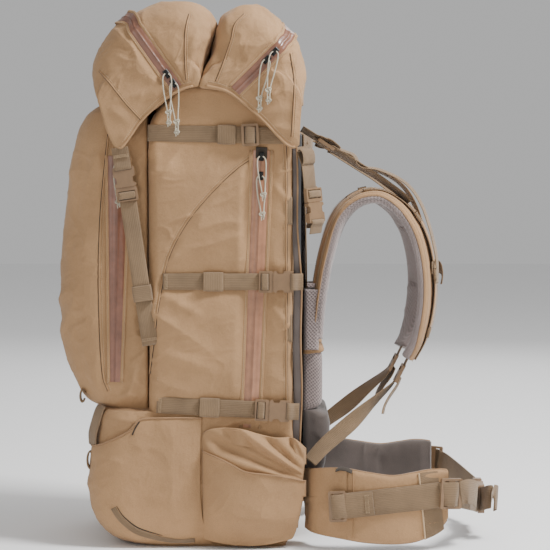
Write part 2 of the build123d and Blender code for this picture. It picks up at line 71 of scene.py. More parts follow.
# ================================================================ materials
class Nodes:
    """A small helper round one material's node tree."""

    def __init__(self, name):
        self.material = bpy.data.materials.new(name)
        self.material.use_nodes = True
        self.tree = self.material.node_tree
        self.shader = self.tree.nodes["Principled BSDF"]
        coordinates = self.node("ShaderNodeTexCoord")
        self.cloth, self.space = coordinates.outputs["UV"], coordinates.outputs["Object"]

    def node(self, kind, **values):
        made = self.tree.nodes.new(kind)
        for key, value in values.items():
            if hasattr(made, key):
                setattr(made, key, value)
            else:
                made.inputs[key.replace("_", " ").title()].default_value = value
        return made

    def link(self, source, target):
        self.tree.links.new(source, target)

    def noise(self, scale, detail=3.0, roughness=0.55):
        made = self.node("ShaderNodeTexNoise", scale=scale, detail=detail, roughness=roughness)
        self.link(self.space, made.inputs["Vector"])
        return made.outputs["Fac"]

    def wave(self, vector, scale, direction="X", distortion=0.0):
        made = self.node("ShaderNodeTexWave", bands_direction=direction, scale=scale, distortion=distortion)
        self.link(vector, made.inputs["Vector"])
        return made.outputs["Fac"]

    def math(self, operation, a, b):
        made = self.node("ShaderNodeMath", operation=operation)
        for socket, value in zip(made.inputs, (a, b)):
            if isinstance(value, (int, float)):
                socket.default_value = value
            else:
                self.link(value, socket)
        return made.outputs[0]

    def ramp(self, factor, *stops):
        """A colour ramp with (position, colour) stops."""
        made = self.node("ShaderNodeValToRGB")
        self.link(factor, made.inputs["Fac"])
        elements = made.color_ramp.elements
        while len(elements) < len(stops):
            elements.new(0.5)
        for element, (position, colour) in zip(elements, stops):
            element.position = position
            element.color = (*colour, 1.0)
        return made.outputs["Color"]

    def greys(self, factor, low, high):
        """A grey ramp with (position, level) ends."""
        return self.ramp(factor, (low[0], (low[1],) * 3), (high[0], (high[1],) * 3))

    def patchy(self, colour, low, high, scale, detail, stops=(0.3, 0.7)):
        """A colour that drifts from patch to patch, between a darker and a lighter share of itself."""
        dark, light = shades(colour, low, high)
        return self.ramp(self.noise(scale, detail), (stops[0], dark), (stops[1], light))

    def multiply(self, a, b):
        made = self.node("ShaderNodeMix", data_type="RGBA", blend_type="MULTIPLY")
        made.inputs[0].default_value = 1.0
        self.link(a, made.inputs[6])
        self.link(b, made.inputs[7])
        return made.outputs[2]

    def bump(self, height, distance, strength=1.0, after=None):
        made = self.node("ShaderNodeBump", distance=distance, strength=strength)
        self.link(height, made.inputs["Height"])
        if after is not None:
            self.link(after, made.inputs["Normal"])
        return made.outputs["Normal"]

    def finish(self, colour, normal=None, roughness=0.8, **sockets):
        self.link(colour, self.shader.inputs["Base Color"])
        if normal is not None:
            self.link(normal, self.shader.inputs["Normal"])
        self.shader.inputs["Roughness"].default_value = roughness
        for key, value in sockets.items():
            self.shader.inputs[key.replace("_", " ").title()].default_value = value
        return self.material


def shades(colour, low, high):
    """A darker and a lighter version of a colour."""
    return tuple(c * low for c in colour), tuple(c * high for c in colour)


def fabric(name, colour, threads=330.0, rough=0.82):
    """Woven nylon: two thread directions in the cloth's own flat coordinates, patchy wear and soft creasing."""
    n = Nodes(name)
    patches = n.patchy(colour, 0.86, 1.12, 9.0, 4.0, (0.3, 0.72))
    fibres = n.greys(n.noise(900.0, 2.0), (0.25, 0.86), (0.75, 1.1))
    weave = n.math("ADD", n.wave(n.cloth, threads, "X"), n.wave(n.cloth, threads, "Y"))
    thread_tone = n.greys(n.math("MULTIPLY", weave, 0.5), (0.1, 0.9), (0.8, 1.04))
    tone = n.multiply(n.multiply(patches, fibres), thread_tone)
    small = n.bump(weave, 0.00012, 0.7)
    crease = n.bump(n.noise(42.0, 7.0, 0.62), 0.0034, 0.75, after=small)
    return n.finish(tone, crease, rough, Sheen_Weight=0.10, Sheen_Roughness=0.4)


def webbing(name, colour):
    """Woven strap: ribs across it and a lengthwise herringbone, in the strap's own flat coordinates."""
    n = Nodes(name)
    patches = n.patchy(colour, 0.82, 1.12, 24.0, 3.0)
    herringbone = n.math("MULTIPLY", n.wave(n.cloth, 120.0, "Y", 0.4), 0.8)
    ribs = n.math("ADD", n.wave(n.cloth, 260.0, "X", 0.6), herringbone)
    lines = n.greys(n.math("MULTIPLY", ribs, 0.55), (0.1, 0.78), (0.85, 1.08))
    fuzz = n.bump(n.noise(700.0, 2.0), 0.0002, 0.6)
    return n.finish(n.multiply(patches, lines), n.bump(ribs, 0.00035, 0.9, after=fuzz), 0.85, Sheen_Weight=0.2)


def coated_tape(name, colour):
    """Water-resistant zip tape: a rubbery film over fine ribs, glossy on its high places."""
    n = Nodes(name)
    tone = n.patchy(colour, 0.78, 1.2, 60.0, 4.0, (0.3, 0.75))
    return n.finish(tone, n.bump(n.noise(130.0), 0.0012, 0.6), 0.3, Coat_Weight=0.35, Coat_Roughness=0.2)


def mesh_cloth(name, colour):
    """Spacer mesh: rows of small dark holes in a soft knit."""
    n = Nodes(name)
    turned = n.node("ShaderNodeMapping", rotation=(0, 0, math.radians(45)))
    n.link(n.cloth, turned.inputs["Vector"])
    holes = n.node("ShaderNodeTexVoronoi", scale=260.0, randomness=0.12)
    n.link(turned.outputs["Vector"], holes.inputs["Vector"])
    depth = holes.outputs["Distance"]
    dark, light = shades(colour, 0.45, 1.25)
    knit = n.ramp(depth, (0.12, dark), (0.55, light))
    patches = n.greys(n.noise(16.0), (0.3, 0.85), (0.7, 1.1))
    return n.finish(n.multiply(knit, patches), n.bump(depth, 0.0012, 0.8), 0.9, Sheen_Weight=0.3)


def lining(name, colour):
    """Brushed grey cloth on the belt's and lumbar pad's inner faces."""
    n = Nodes(name)
    rows = n.wave(n.cloth, 300.0, "Y", 0.8)
    tone = n.multiply(n.patchy(colour, 0.8, 1.15, 20.0, 4.0), n.greys(rows, (0.1, 0.9), (0.9, 1.05)))
    nap = n.bump(n.noise(500.0), 0.0004, 0.7)
    return n.finish(tone, n.bump(rows, 0.0002, 0.6, after=nap), 0.95, Sheen_Weight=0.4)


def plastic(name, colour, rough=0.42):
    """Moulded plastic with a fine spark-eroded grain."""
    n = Nodes(name)
    tone = n.patchy(colour, 0.9, 1.08, 90.0, 3.0)
    return n.finish(tone, n.bump(n.noise(1600.0, 2.0), 0.00008, 0.6), rough)


def painted_metal(name, colour):
    """Enamel on zip sliders, a little worn."""
    n = Nodes(name)
    tone = n.patchy(colour, 1, 4, 300.0, 3.0, (0.4, 0.8))
    return n.finish(tone, n.bump(n.noise(900.0, 2.0), 0.00005, 0.5), 0.34, Metallic=0.6)


def braid(name, colour):
    """Braided cord: diagonal strands along the cord's own coordinates."""
    n = Nodes(name)
    strands = n.math("ADD", n.wave(n.space, 330.0, "DIAGONAL"), n.wave(n.space, 520.0, "Z"))
    dark, light = shades(colour, 0.72, 1.1)
    tone = n.ramp(n.math("MULTIPLY", strands, 0.5), (0.15, dark), (0.75, light))
    return n.finish(tone, n.bump(strands, 0.0003, 0.8), 0.8, Sheen_Weight=0.2)


MATERIALS = {
    "fabric": fabric("coyote_fabric", (0.410, 0.237, 0.112)),
    "binding": fabric("binding_tape", (0.33, 0.190, 0.092), 420.0),
    "thread": fabric("stitching", (0.52, 0.36, 0.21), 600.0, 0.6),
    "dark": fabric("inner_shadow_cloth", (0.05, 0.038, 0.028), 330.0, 0.95),
    "webbing": webbing("strap_webbing", (0.238, 0.152, 0.080)),
    "zip": coated_tape("coated_zip", (0.350, 0.162, 0.086)),
    "zip_dark": coated_tape("coated_zip_dark", (0.215, 0.092, 0.055)),
    "mesh": mesh_cloth("spacer_mesh", (0.262, 0.207, 0.194)),
    # The lining's colour is set darker than its own grey, to stand for the shade on the belt wings' inner faces and the
    # lumbar pad: partly its own colour, partly painted shade.
    "lining": lining("brushed_lining", (0.098, 0.076, 0.066)),
    "buckle": plastic("buckle_plastic", (0.215, 0.128, 0.066)),
    "frame": plastic("frame_plastic", (0.035, 0.033, 0.032), 0.5),
    "metal": painted_metal("slider_enamel", (0.012, 0.012, 0.012)),
    "stay": plastic("stay_alloy", (0.11, 0.11, 0.115), 0.5),
    "cord": braid("pull_braid", (0.60, 0.53, 0.40)),
}


# ================================================================ noise and folds
def soft_noise(points, seed):
    """Smooth noise from -1 to 1 at an (n, 3) array of points."""
    cell = np.floor(points).astype(np.int64)
    part = points - cell
    part = part * part * (3 - 2 * part)
    total = np.zeros(len(points))
    for corner in itertools.product((0, 1), repeat=3):
        at = cell + corner
        mixed = (at[:, 0] * 73856093) ^ (at[:, 1] * 19349663) ^ (at[:, 2] * 83492791) ^ (seed * 2654435)
        mixed = (mixed * 1103515245 + 12345) & 0x7FFFFFFF
        mixed = ((mixed ^ (mixed >> 15)) * 2246822519) & 0x7FFFFFFF
        value = (mixed % 65536) / 32767.5 - 1
        weight = np.prod(np.where(corner, part, 1 - part), axis=1)
        total += value * weight
    return total


def folds(points, size, along, stretch, seed):
    """Creases of about one size, longer along a direction: 0 in the flats, up to 1.8 on a fold's ridge."""
    flat = points.reshape(-1, 3) / size
    along = np.array(along, float) / np.linalg.norm(along)
    shift = flat @ along
    squeezed = flat - np.outer(shift * (1 - 1 / stretch), along)
    bend = np.stack([soft_noise(squeezed * 0.6 + 17 * i, seed + i) for i in range(3)], axis=1)
    warped = squeezed + 0.75 * bend
    ridge = 1 - np.abs(soft_noise(warped, seed + 7)) * 2.2
    ridge = np.clip(ridge, 0, 1) ** 1.6
    mask = np.clip(0.5 + 0.9 * soft_noise(flat * 0.45, seed + 11), 0, 1)
    return 1.8 * (ridge * mask).reshape(points.shape[:-1])


def creased(points, *layers):
    """Creases of several sizes together. Each layer is (height, size, along, stretch, seed)."""
    return sum(layer[0] * folds(points, *layer[1:]) for layer in layers)


def swell(points, size, seed):
    """Broad soft unevenness from -1 to 1."""
    return soft_noise(points.reshape(-1, 3) / size, seed).reshape(points.shape[:-1])


def smoothstep(low, high, value):
    """From 0 at low to 1 at high, level at both ends."""
    share = np.clip((value - low) / (high - low), 0, 1)
    return share * share * (3 - 2 * share)


def near_line(y, z, start, end):
    """The distance of points (y, z) from a line's piece, and how far along it they are, from 0 to 1."""
    start, end = np.array(start, float), np.array(end, float)
    run = end - start
    along = np.clip(((y - start[0]) * run[0] + (z - start[1]) * run[1]) / (run @ run), 0, 1)
    return np.hypot(y - start[0] - along * run[0], z - start[1] - along * run[1]), along


def pleat(y, z, start, end, width, height):
    """One fold that rises along a line and fades at both ends."""
    away, along = near_line(y, z, start, end)
    return height * np.exp(-((away / width) ** 2)) * np.sin(np.pi * np.clip(along, 0.02, 0.98)) ** 0.7


def pleated(y, z, *table):
    """Several pleats together. Each row is (start, end, width, height)."""
    return sum(pleat(y, z, *row) for row in table)


# ================================================================ curves
def smooth(points, count, closed=False):
    """A Catmull-Rom curve through points, at evenly spaced places."""
    points = np.array(points, float)
    if closed:
        ends = np.vstack([points[-1], points, points[0], points[1]])
    else:
        ends = np.vstack([2 * points[0] - points[1], points, 2 * points[-1] - points[-2]])
    fine = []
    for i in range(1, len(ends) - 2):
        a, b, c, d = ends[i - 1 : i + 3]
        t = np.linspace(0, 1, 24, endpoint=False)[:, None]
        fine.append(
            0.5 * (2 * b + (c - a) * t + (2 * a - 5 * b + 4 * c - d) * t**2 + (3 * b - a - 3 * c + d) * t**3)
        )
    fine = np.vstack(fine + [ends[-2][None]])
    return even(fine, count)


def even(points, count):
    """A polyline's points moved to even spacing."""
    steps = np.linalg.norm(np.diff(points, axis=0), axis=1)
    reach = np.concatenate([[0], np.cumsum(steps)])
    at = np.linspace(0, reach[-1], count)
    return np.stack([np.interp(at, reach, points[:, k]) for k in range(points.shape[1])], axis=1)


def curve_value(table):
    """A smooth function through (input, output) pairs."""
    rows = smooth(sorted(table), 400)
    order = np.argsort(rows[:, 0])
    return lambda x: np.interp(x, rows[order, 0], rows[order, 1])


def rounded_ring(half, front, back, front_radius, back_radius, count):
    """Points round a rounded rectangle in plan, from the middle of its back, over +X, the front and -X."""
    corners = []
    for radius, y, start in ((back_radius, back - back_radius, 90), (front_radius, front + front_radius, 0)):
        angles = np.radians(np.linspace(start, start - 90, 12))
        corners.append(np.stack([half - radius + radius * np.cos(angles), y + radius * np.sin(angles)], axis=1))
    right = np.vstack([[0, back], corners[0], corners[1], [0, front]])
    left = right[::-1][1:] * [-1, 1]
    loop = even(np.vstack([right, left]), count + 1)
    return loop[:-1]


# ================================================================ meshes
def make_object(name, vertices, faces, material, uv, body):
    """A mesh object in metres from points in millimetres, riding on a body."""
    mesh = bpy.data.meshes.new(name)
    mesh.from_pydata((np.asarray(vertices) * MM).tolist(), [], faces)
    mesh.polygons.foreach_set("use_smooth", [True] * len(mesh.polygons))
    layer = mesh.uv_layers.new(name="flat")
    corners = np.empty(len(mesh.loops), dtype=np.int64)
    mesh.loops.foreach_get("vertex_index", corners)
    layer.data.foreach_set("uv", (np.asarray(uv)[corners] * MM).ravel())
    mesh.materials.append(MATERIALS[material])
    obj = bpy.data.objects.new(name, mesh)
    bpy.context.scene.collection.objects.link(obj)
    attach(obj, body)
    return obj


def grid_faces(rows, columns, closed_rows=False, closed_columns=False):
    """Quads of a grid of points numbered row by row."""
    faces = []
    for i in range(rows if closed_rows else rows - 1):
        here, there = i * columns, (i + 1) % rows * columns
        for j in range(columns if closed_columns else columns - 1):
            m = (j + 1) % columns
            faces.append((here + j, here + m, there + m, there + j))
    return faces


def end_faces(rows, columns):
    """The two flat ends of a closed tube of points."""
    last = (rows - 1) * columns
    return [tuple(range(columns))[::-1], tuple(range(last, last + columns))]


def flat_coordinates(grid):
    """Each grid point's distance along its row and down its column, for weave that keeps its scale."""
    across = np.zeros(grid.shape[:2])
    across[:, 1:] = np.cumsum(np.linalg.norm(np.diff(grid, axis=1), axis=2), axis=1)
    down = np.zeros(grid.shape[:2])
    down[1:] = np.cumsum(np.linalg.norm(np.diff(grid, axis=0), axis=2), axis=0)
    return np.stack([across, down], axis=2).reshape(-1, 2)


def grid_object(name, grid, material, body="pack", closed=False, caps=(False, False), flip=False):
    """An object from a (rows, columns, 3) array of points. closed joins each row's ends; caps fill the end rows."""
    rows, columns = grid.shape[:2]
    vertices, uv = grid.reshape(-1, 3), flat_coordinates(grid)
    faces = grid_faces(rows, columns, closed_columns=closed)
    for end, wanted in zip((0, rows - 1), caps):
        if not wanted:
            continue
        vertices = np.vstack([vertices, grid[end].mean(axis=0)])
        uv = np.vstack([uv, uv[end * columns : (end + 1) * columns].mean(axis=0)])
        hub, first = len(vertices) - 1, end * columns
        for j in range(columns):
            pair = (first + j, first + (j + 1) % columns)
            faces.append((hub, *pair[::-1]) if end == 0 else (hub, *pair))
    if flip:
        faces = [face[::-1] for face in faces]
    return make_object(name, vertices, faces, material, uv, body)


def grid_normals(grid, closed=False):
    """Unit normals of a grid of points."""
    if closed:
        across = np.roll(grid, -1, axis=1) - np.roll(grid, 1, axis=1)
    else:
        across = np.gradient(grid, axis=1)
    down = np.gradient(grid, axis=0)
    normal = np.cross(across, down)
    return normal / np.maximum(np.linalg.norm(normal, axis=2, keepdims=True), 1e-9)


def outward_normals(grid, middle, closed=False):
    """Unit normals of a grid of points, all turned away from a middle."""
    normals = grid_normals(grid, closed)
    return normals * np.sign(np.sum(normals * (grid - middle), axis=2, keepdims=True))


def frames_along(path, hint):
    """Unit tangents, side vectors and normals down a path, with normals as near hint as they can be."""
    tangent = np.gradient(path, axis=0)
    tangent /= np.linalg.norm(tangent, axis=1, keepdims=True)
    hint = np.broadcast_to(np.asarray(hint, float), path.shape)
    normal = hint - tangent * np.sum(hint * tangent, axis=1, keepdims=True)
    normal /= np.linalg.norm(normal, axis=1, keepdims=True)
    return tangent, np.cross(normal, tangent), normal


SECTION = (
    (-1, -0.6), (-0.96, -1), (0.96, -1), (1, -0.6), (1, 0.6), (0.96, 1), (0.5, 1.12), (0, 1.2), (-0.5, 1.12),
    (-0.96, 1), (-1, 0.6)
)


def ribbon(name, path, outward, width, thick, material="webbing", body="pack", taper=None):
    """A strap that follows a path, its face turned outward, with rounded selvedges and closed ends."""
    path = np.asarray(path, float)
    _, side, normal = frames_along(path, outward)
    widths = np.full(len(path), width) if taper is None else width * np.asarray(taper)
    rows = [path + side * (widths * a / 2)[:, None] + normal * (thick * b / 2) for a, b in SECTION]
    grid = np.stack(rows, axis=1)
    along = np.concatenate([[0], np.cumsum(np.linalg.norm(np.diff(path, axis=0), axis=1))])
    across = np.array([a * width / 2 for a, b in SECTION])
    uv = np.stack(np.broadcast_arrays(along[:, None], across[None, :]), axis=2).reshape(-1, 2)
    size = len(path), len(SECTION)
    faces = [face[::-1] for face in grid_faces(*size, closed_columns=True) + end_faces(*size)]
    return make_object(name, grid.reshape(-1, 3), faces, material, uv, body)


def tube_mesh(path, radius, sides=8, closed=False):
    """Vertices and faces of a tube along a path."""
    path = np.asarray(path, float)
    tangent = np.gradient(path, axis=0)
    tangent /= np.linalg.norm(tangent, axis=1, keepdims=True)
    hint = np.array([0.3, 0.5, 0.81]) if abs(tangent[0][2]) < 0.9 else np.array([0.9, 0.4, 0.1])
    normal = np.cross(tangent[0], hint)
    normal /= np.linalg.norm(normal)
    rings = []
    for point, along in zip(path, tangent):
        normal = normal - along * (normal @ along)
        normal /= np.linalg.norm(normal)
        other = np.cross(along, normal)
        angles = np.arange(sides) * 2 * math.pi / sides
        rings.append(point + radius * (np.cos(angles)[:, None] * normal + np.sin(angles)[:, None] * other))
    grid = np.array(rings)
    faces = grid_faces(len(path), sides, closed_rows=closed, closed_columns=True)
    if not closed:
        faces += end_faces(len(path), sides)
    return grid.reshape(-1, 3), faces


def merged(name, parts, material, body="pack"):
    """One object from several (vertices, faces) pairs."""
    vertices, faces, first = [], [], 0
    for points, loops in parts:
        vertices.append(points)
        faces += [tuple(first + k for k in loop) for loop in loops]
        first += len(points)
    points = np.vstack(vertices)
    return make_object(name, points, faces, material, points[:, 1:3], body)


def tube(name, path, radius, material, body="pack", sides=8):
    """A round cord or piping along a path, as one piece."""
    return merged(name, [tube_mesh(path, radius, sides)], material, body)


def stitch_parts(path, outward, pitch=3.2, length=2.3, radius=0.38):
    """Short thread capsules at even steps along a path."""
    path = np.asarray(path, float)
    reach = np.linalg.norm(np.diff(path, axis=0), axis=1).sum()
    count = max(int(reach / pitch), 2)
    even_path = even(np.hstack([path, np.broadcast_to(outward, path.shape)]), count)
    points, hints = even_path[:, :3], even_path[:, 3:]
    tangent, _, normal = frames_along(points, hints)
    parts = []
    for point, along, up in zip(points, tangent, normal):
        half, dip = along * length / 2, up * 0.3
        middle = point + up * 0.25
        line = [middle - half - dip, middle - half * 0.4, middle + half * 0.4, middle + half - dip]
        parts.append(tube_mesh(line, radius, 5))
    return parts


class Skin:
    """A surface that other things are laid on."""

    def __init__(self, obj):
        vertices = [tuple(v.co / MM) for v in obj.data.vertices]
        self.tree = BVHTree.FromPolygons(vertices, [tuple(p.vertices) for p in obj.data.polygons])

    def drop(self, points, direction, lift):
        """Points moved along a direction onto the surface, and the surface's normals there."""
        hits, normals = [], []
        direction = Vector(direction).normalized()
        for point in points:
            start = Vector(point) - direction * 400
            hit, normal, _, _ = self.tree.ray_cast(start, direction)
            if hit is None:
                hit, normal, _, _ = self.tree.find_nearest(Vector(point))
            if normal.dot(direction) > 0:
                normal = -normal
            hits.append(np.array(hit + normal * lift))
            normals.append(np.array(normal))
        return np.array(hits), np.array(normals)


def calm(rows, passes):
    """Evens out rows of vectors along a path."""
    rows = np.array(rows, float)
    for _ in range(passes):
        rows[1:-1] = (rows[:-2] + 2 * rows[1:-1] + rows[2:]) / 4
    return rows


# ================================================================ zip lines, as (y, z) on the side panels
SIDE_ZIP = ((105.0, 598.0), (88.5, 200.0))
FRONT_ZIP = ((-110.0, 590.0), (-116.0, 250.0))
LID_FRONT_ZIP = ((-88.0, 786.0), (-20.0, 690.0))
LID_REAR_ZIP = ((143.0, 762.0), (66.0, 686.0))


# ================================================================ the main bag
UPPER_STRAP_Z, LOWER_STRAP_Z, TOP_STRAP_Z = 402.0, 209.0, 622.0
PANEL_SEAM = smooth([
    (-64, 262), (-58, 306), (-49, 372), (-37, 431), (-15, 478), (15, 519), (59, 564), (108, 601)
], 90)


def off_zip(y, z, zip_line, inner, outer):
    """Nought on a zip, rising to one away from it."""
    return smoothstep(inner, outer, near_line(y, z, *zip_line)[0])


SHOULDER = 16  # rounding of the bag's and the front pocket's top edges
SIDE_PLEATS = [  # start, end, width, height
    ((-62, 392), (20, 350), 7, 3.2), ((-60, 300), (40, 268), 9, 3.4), ((-58, 255), (10, 228), 8, 3.0),
    ((-30, 430), (60, 470), 9, 2.4), ((110, 380), (148, 330), 6, 2.0), ((108, 560), (148, 520), 6, 2.2),
]


def side_relief(y, z):
    """How far the bag's side stands out from its flat panel, at (y, z): its swell between straps, and its folds."""
    across = np.clip((y - COLUMN_FRONT) / (BAG_BACK - COLUMN_FRONT), 0, 1)
    belly = np.sin(np.pi * across) ** 0.7 * (1 - 0.75 * smoothstep(70, 100, y))
    pinned = sum(np.exp(-(((z - level) / 24) ** 2)) for level in (UPPER_STRAP_Z, LOWER_STRAP_Z, TOP_STRAP_Z))
    belly = 8.0 * belly * np.clip(1 - pinned, 0, 1) * (1 - smoothstep(560, 600, z)) * smoothstep(205, 235, z)
    points = np.stack([np.full_like(y, 7.0), y, z], axis=-1)
    loose = np.clip(1 - 0.8 * pinned, 0.12, 1) * (1 - 0.6 * smoothstep(590, 625, z))
    crease = creased(
        points, (4.8, 46, (0, 0.9, -0.35), 3.2, 3), (2.8, 24, (0, 0.8, 0.5), 3.0, 9),
        (0.75, 12, (0, 0.9, 0.2), 2.6, 15)
    )
    dips = 2.2 * swell(points, 48, 5)
    front = 1 - smoothstep(-50, 20, y)
    pulls = pleated(y, z, *SIDE_PLEATS)
    away = np.full(np.shape(y), 1e9)
    for a, b in zip(PANEL_SEAM[:-6:6], PANEL_SEAM[6::6]):
        away = np.minimum(away, near_line(y, z, a, b)[0])
    groove = -2.4 * np.exp(-((away / 5.0) ** 2))
    flat = off_zip(y, z, SIDE_ZIP, 13, 30)
    return belly * (0.12 + 0.88 * flat) + flat * loose * (crease * (0.6 + 0.6 * front) + dips + pulls) + groove


def bag_ring(z, count):
    """The bag's plan outline at a height."""
    lean = (math.hypot(z - 644, 12) + z - 644) / 2 if z > 600 else 0.0
    shoulder = soft_shoulder(z, BAG_TOP, SHOULDER)
    front = COLUMN_FRONT + lean * 0.86 + shoulder
    back = BAG_BACK - lean * 0.82 - shoulder
    return rounded_ring(BAG_HALF - shoulder, front, back, 16 + shoulder, 11 + shoulder, count)


def soft_shoulder(z, top, radius):
    """How far a side has turned in at a height, below a rounded top edge."""
    share = min(max((z - top + radius) / radius, 0.0), 0.98)
    return radius * (1 - math.sqrt(1 - share**2))


def bag_column():
    """The tall column of the main bag, up to its gathered collar."""
    count, heights = 420, np.concatenate([np.linspace(188, 640, 230), np.linspace(643, BAG_TOP - 0.3, 34)])
    rows = []
    for z in heights:
        ring = bag_ring(z, count)
        y = ring[:, 1]
        relief = side_relief(y, np.full(count, z))
        share = np.clip(np.abs(ring[:, 0]) / BAG_HALF, 0, 1) ** 6
        x = ring[:, 0] + np.sign(ring[:, 0]) * relief * share
        rows.append(np.stack([x, y, np.full(count, z)], axis=1))
    grid = np.array(rows)
    collar = collar_rows(grid[-1])
    grid = np.vstack([grid, collar])
    grid[:, :, 1] += 1.2 * swell(grid, 70, 21) * (np.abs(grid[:, :, 0]) < 140)
    return grid_object("bag_column", grid, "fabric", closed=True)


def collar_rows(start):
    """The collar: from the column's top in to the mouth, gathered in small pleats, and down inside."""
    count = len(start)
    mouth = rounded_ring(104, 12, 72, 28, 28, count)
    middle = np.array([0.0, 42.0])
    turn = np.arange(count) / count * 2 * math.pi
    ruffle = np.sin(turn * 34) + 0.6 * np.sin(turn * 57 + 1.3)
    rows = []
    for share in np.linspace(0.08, 1, 16):
        flat = start[:, :2] * (1 - share) + mouth * share
        height = BAG_TOP - 2 + 1.5 * math.sin(share * math.pi) + 1.6 * share * ruffle
        rows.append(np.column_stack([flat, np.clip(height, 0, BAG_TOP + 2)]))
    for drop in np.linspace(3, 120, 12):
        wander = np.column_stack([np.cos(turn * 9), np.sin(turn * 11)])
        flat = middle + (mouth - middle) * (1 - 0.0004 * drop) + 0.02 * drop * wander
        rows.append(np.column_stack([flat, np.full(count, BAG_TOP - drop)]))
    return np.array(rows)


BASE_PROFILE = curve_value([(0, 62), (8, 40), (22, 22), (44, 8), (78, 1), (120, 0), (170, 2), (196, 5), (206, 10)])


def base_ring(z, count, out=0.0):
    """The base compartment's plan outline at a height, pushed out by a distance."""
    inset = 13 * (1 - smoothstep(0, 26, z)) ** 1.5
    front = BASE_FRONT + BASE_PROFILE(z) - out
    half = BAG_HALF - inset + out
    return rounded_ring(half, front, BAG_BACK - inset * 0.8 + out * 0.1, 52, 12, count)


def base_relief(grid):
    """Folds and sag over the base compartment."""
    crease = creased(
        grid, (2.4, 40, (0.5, 0.8, 0.1), 3.0, 31), (1.2, 20, (0.3, 0.8, 0.4), 2.5, 33),
        (0.7, 12, (0.4, 0.7, 0.3), 2.4, 37)
    )
    return (crease + 1.5 * swell(grid, 55, 35)) * smoothstep(6, 40, grid[..., 2])


BASE_MIDDLE = (0, 0, 100)


def bag_base():
    """The base compartment under the column and the front pocket."""
    count = 380
    rows = []
    for z in np.concatenate([np.linspace(0, 30, 16), np.linspace(34, 206, 70)]):
        ring = base_ring(z, count)
        rows.append(np.column_stack([ring, np.full(count, z)]))
    grid = np.array(rows)
    top = grid[-1].copy()
    for share in (0.08, 0.2, 0.5):
        inner = top.copy()
        inner[:, :2] = top[:, :2] * (1 - share)
        inner[:, 2] = 206 + 2 * share
        grid = np.vstack([grid, inner[None]])
    grid = grid + outward_normals(grid, BASE_MIDDLE, closed=True) * base_relief(grid)[..., None]
    grid[..., 2] = np.maximum(grid[..., 2], 0.0)
    return grid_object("bag_base", grid, "fabric", closed=True, caps=(True, True))


# ================================================================ the front pocket
POCKET_FRONT = curve_value(
    [
        (206, -140), (216, -160), (232, -174), (263, -189), (302, -200), (363, -205), (440, -204.5), (517, -196),
        (575, -187), (622, -178), (650, -164), (668, -148)
    ]
)
POCKET_CORNER = 60.0
POCKET_PLEATS = [
    ((-78, 600), (-72, 500), 5, 2.2), ((-130, 262), (-72, 248), 6, 3.2), ((-126, 236), (-78, 226), 5, 3.0),
    ((-100, 222), (-70, 300), 6, 2.6), ((-84, 470), (-70, 360), 5, 2.0),
]


def pocket_side_relief(y, z):
    """How far the front pocket's side stands out from its flat panel at (y, z)."""
    points = np.stack([np.full_like(y, 3.0), y, z], axis=-1)
    tall, deep = np.clip((z - 210) / 450, 0, 1), np.clip((y + 190) / 124, 0, 1)
    belly = 5.0 * np.sin(np.pi * tall) ** 0.6 * np.sin(np.pi * deep)
    crease = creased(
        points, (2.2, 40, (0, 0.45, 0.9), 3.4, 41), (1.3, 20, (0, 0.9, 0.3), 2.6, 43),
        (0.8, 11, (0, 0.6, 0.7), 2.4, 45)
    )
    return (belly + crease + pleated(y, z, *POCKET_PLEATS)) * off_zip(y, z, FRONT_ZIP, 15, 30)


def front_pocket():
    """The big front pocket: a soft block with rounded front corners."""
    count = 380
    rows = []
    for z in np.linspace(POCKET_LOW[2], POCKET_HIGH[2], 210):
        ends = smoothstep(206, 230, z) * (1 - 0.6 * smoothstep(640, 668, z))
        shoulder = soft_shoulder(z, POCKET_HIGH[2], SHOULDER)
        half = POCKET_HIGH[0] - 9 * (1 - smoothstep(206, 246, z)) - 7 * smoothstep(600, 668, z) - shoulder
        ring = rounded_ring(half, POCKET_FRONT(z) + shoulder * 0.5, -66.5 - shoulder * 0.3, POCKET_CORNER, 5, count)
        x, y = ring.T
        side = smoothstep(half - 14, half - 2, np.abs(x))
        relief = pocket_side_relief(y, np.full(count, z)) * side * ends
        rows.append(np.stack([x + np.sign(x) * relief, y, np.full(count, z)], axis=1))
    grid = np.array(rows)
    front = 1 - smoothstep(-168, -140, grid[..., 1])
    crease = creased(
        grid, (2.6, 52, (1, 0, 0.35), 3.0, 51), (1.4, 26, (0.9, 0, -0.5), 2.5, 53),
        (0.7, 12, (0.9, 0.3, 0.4), 2.4, 55)
    )
    low = 3.0 * np.exp(-(((grid[..., 2] - 232) / 14) ** 2)) * (0.5 + 0.5 * np.sin(grid[..., 0] / 7.5))
    grid[..., 1] += front * (2.5 - crease - low)
    return grid_object("front_pocket_shell", grid, "fabric", closed=True, caps=(True, True))


# ================================================================ pockets low on the bag
BASE_EDGE = curve_value([
    (-162, 142), (-150, 148), (-126, 158), (-106, 169), (-94, 177), (-85, 188), (-76, 195), (-50, 197), (14, 197)
])


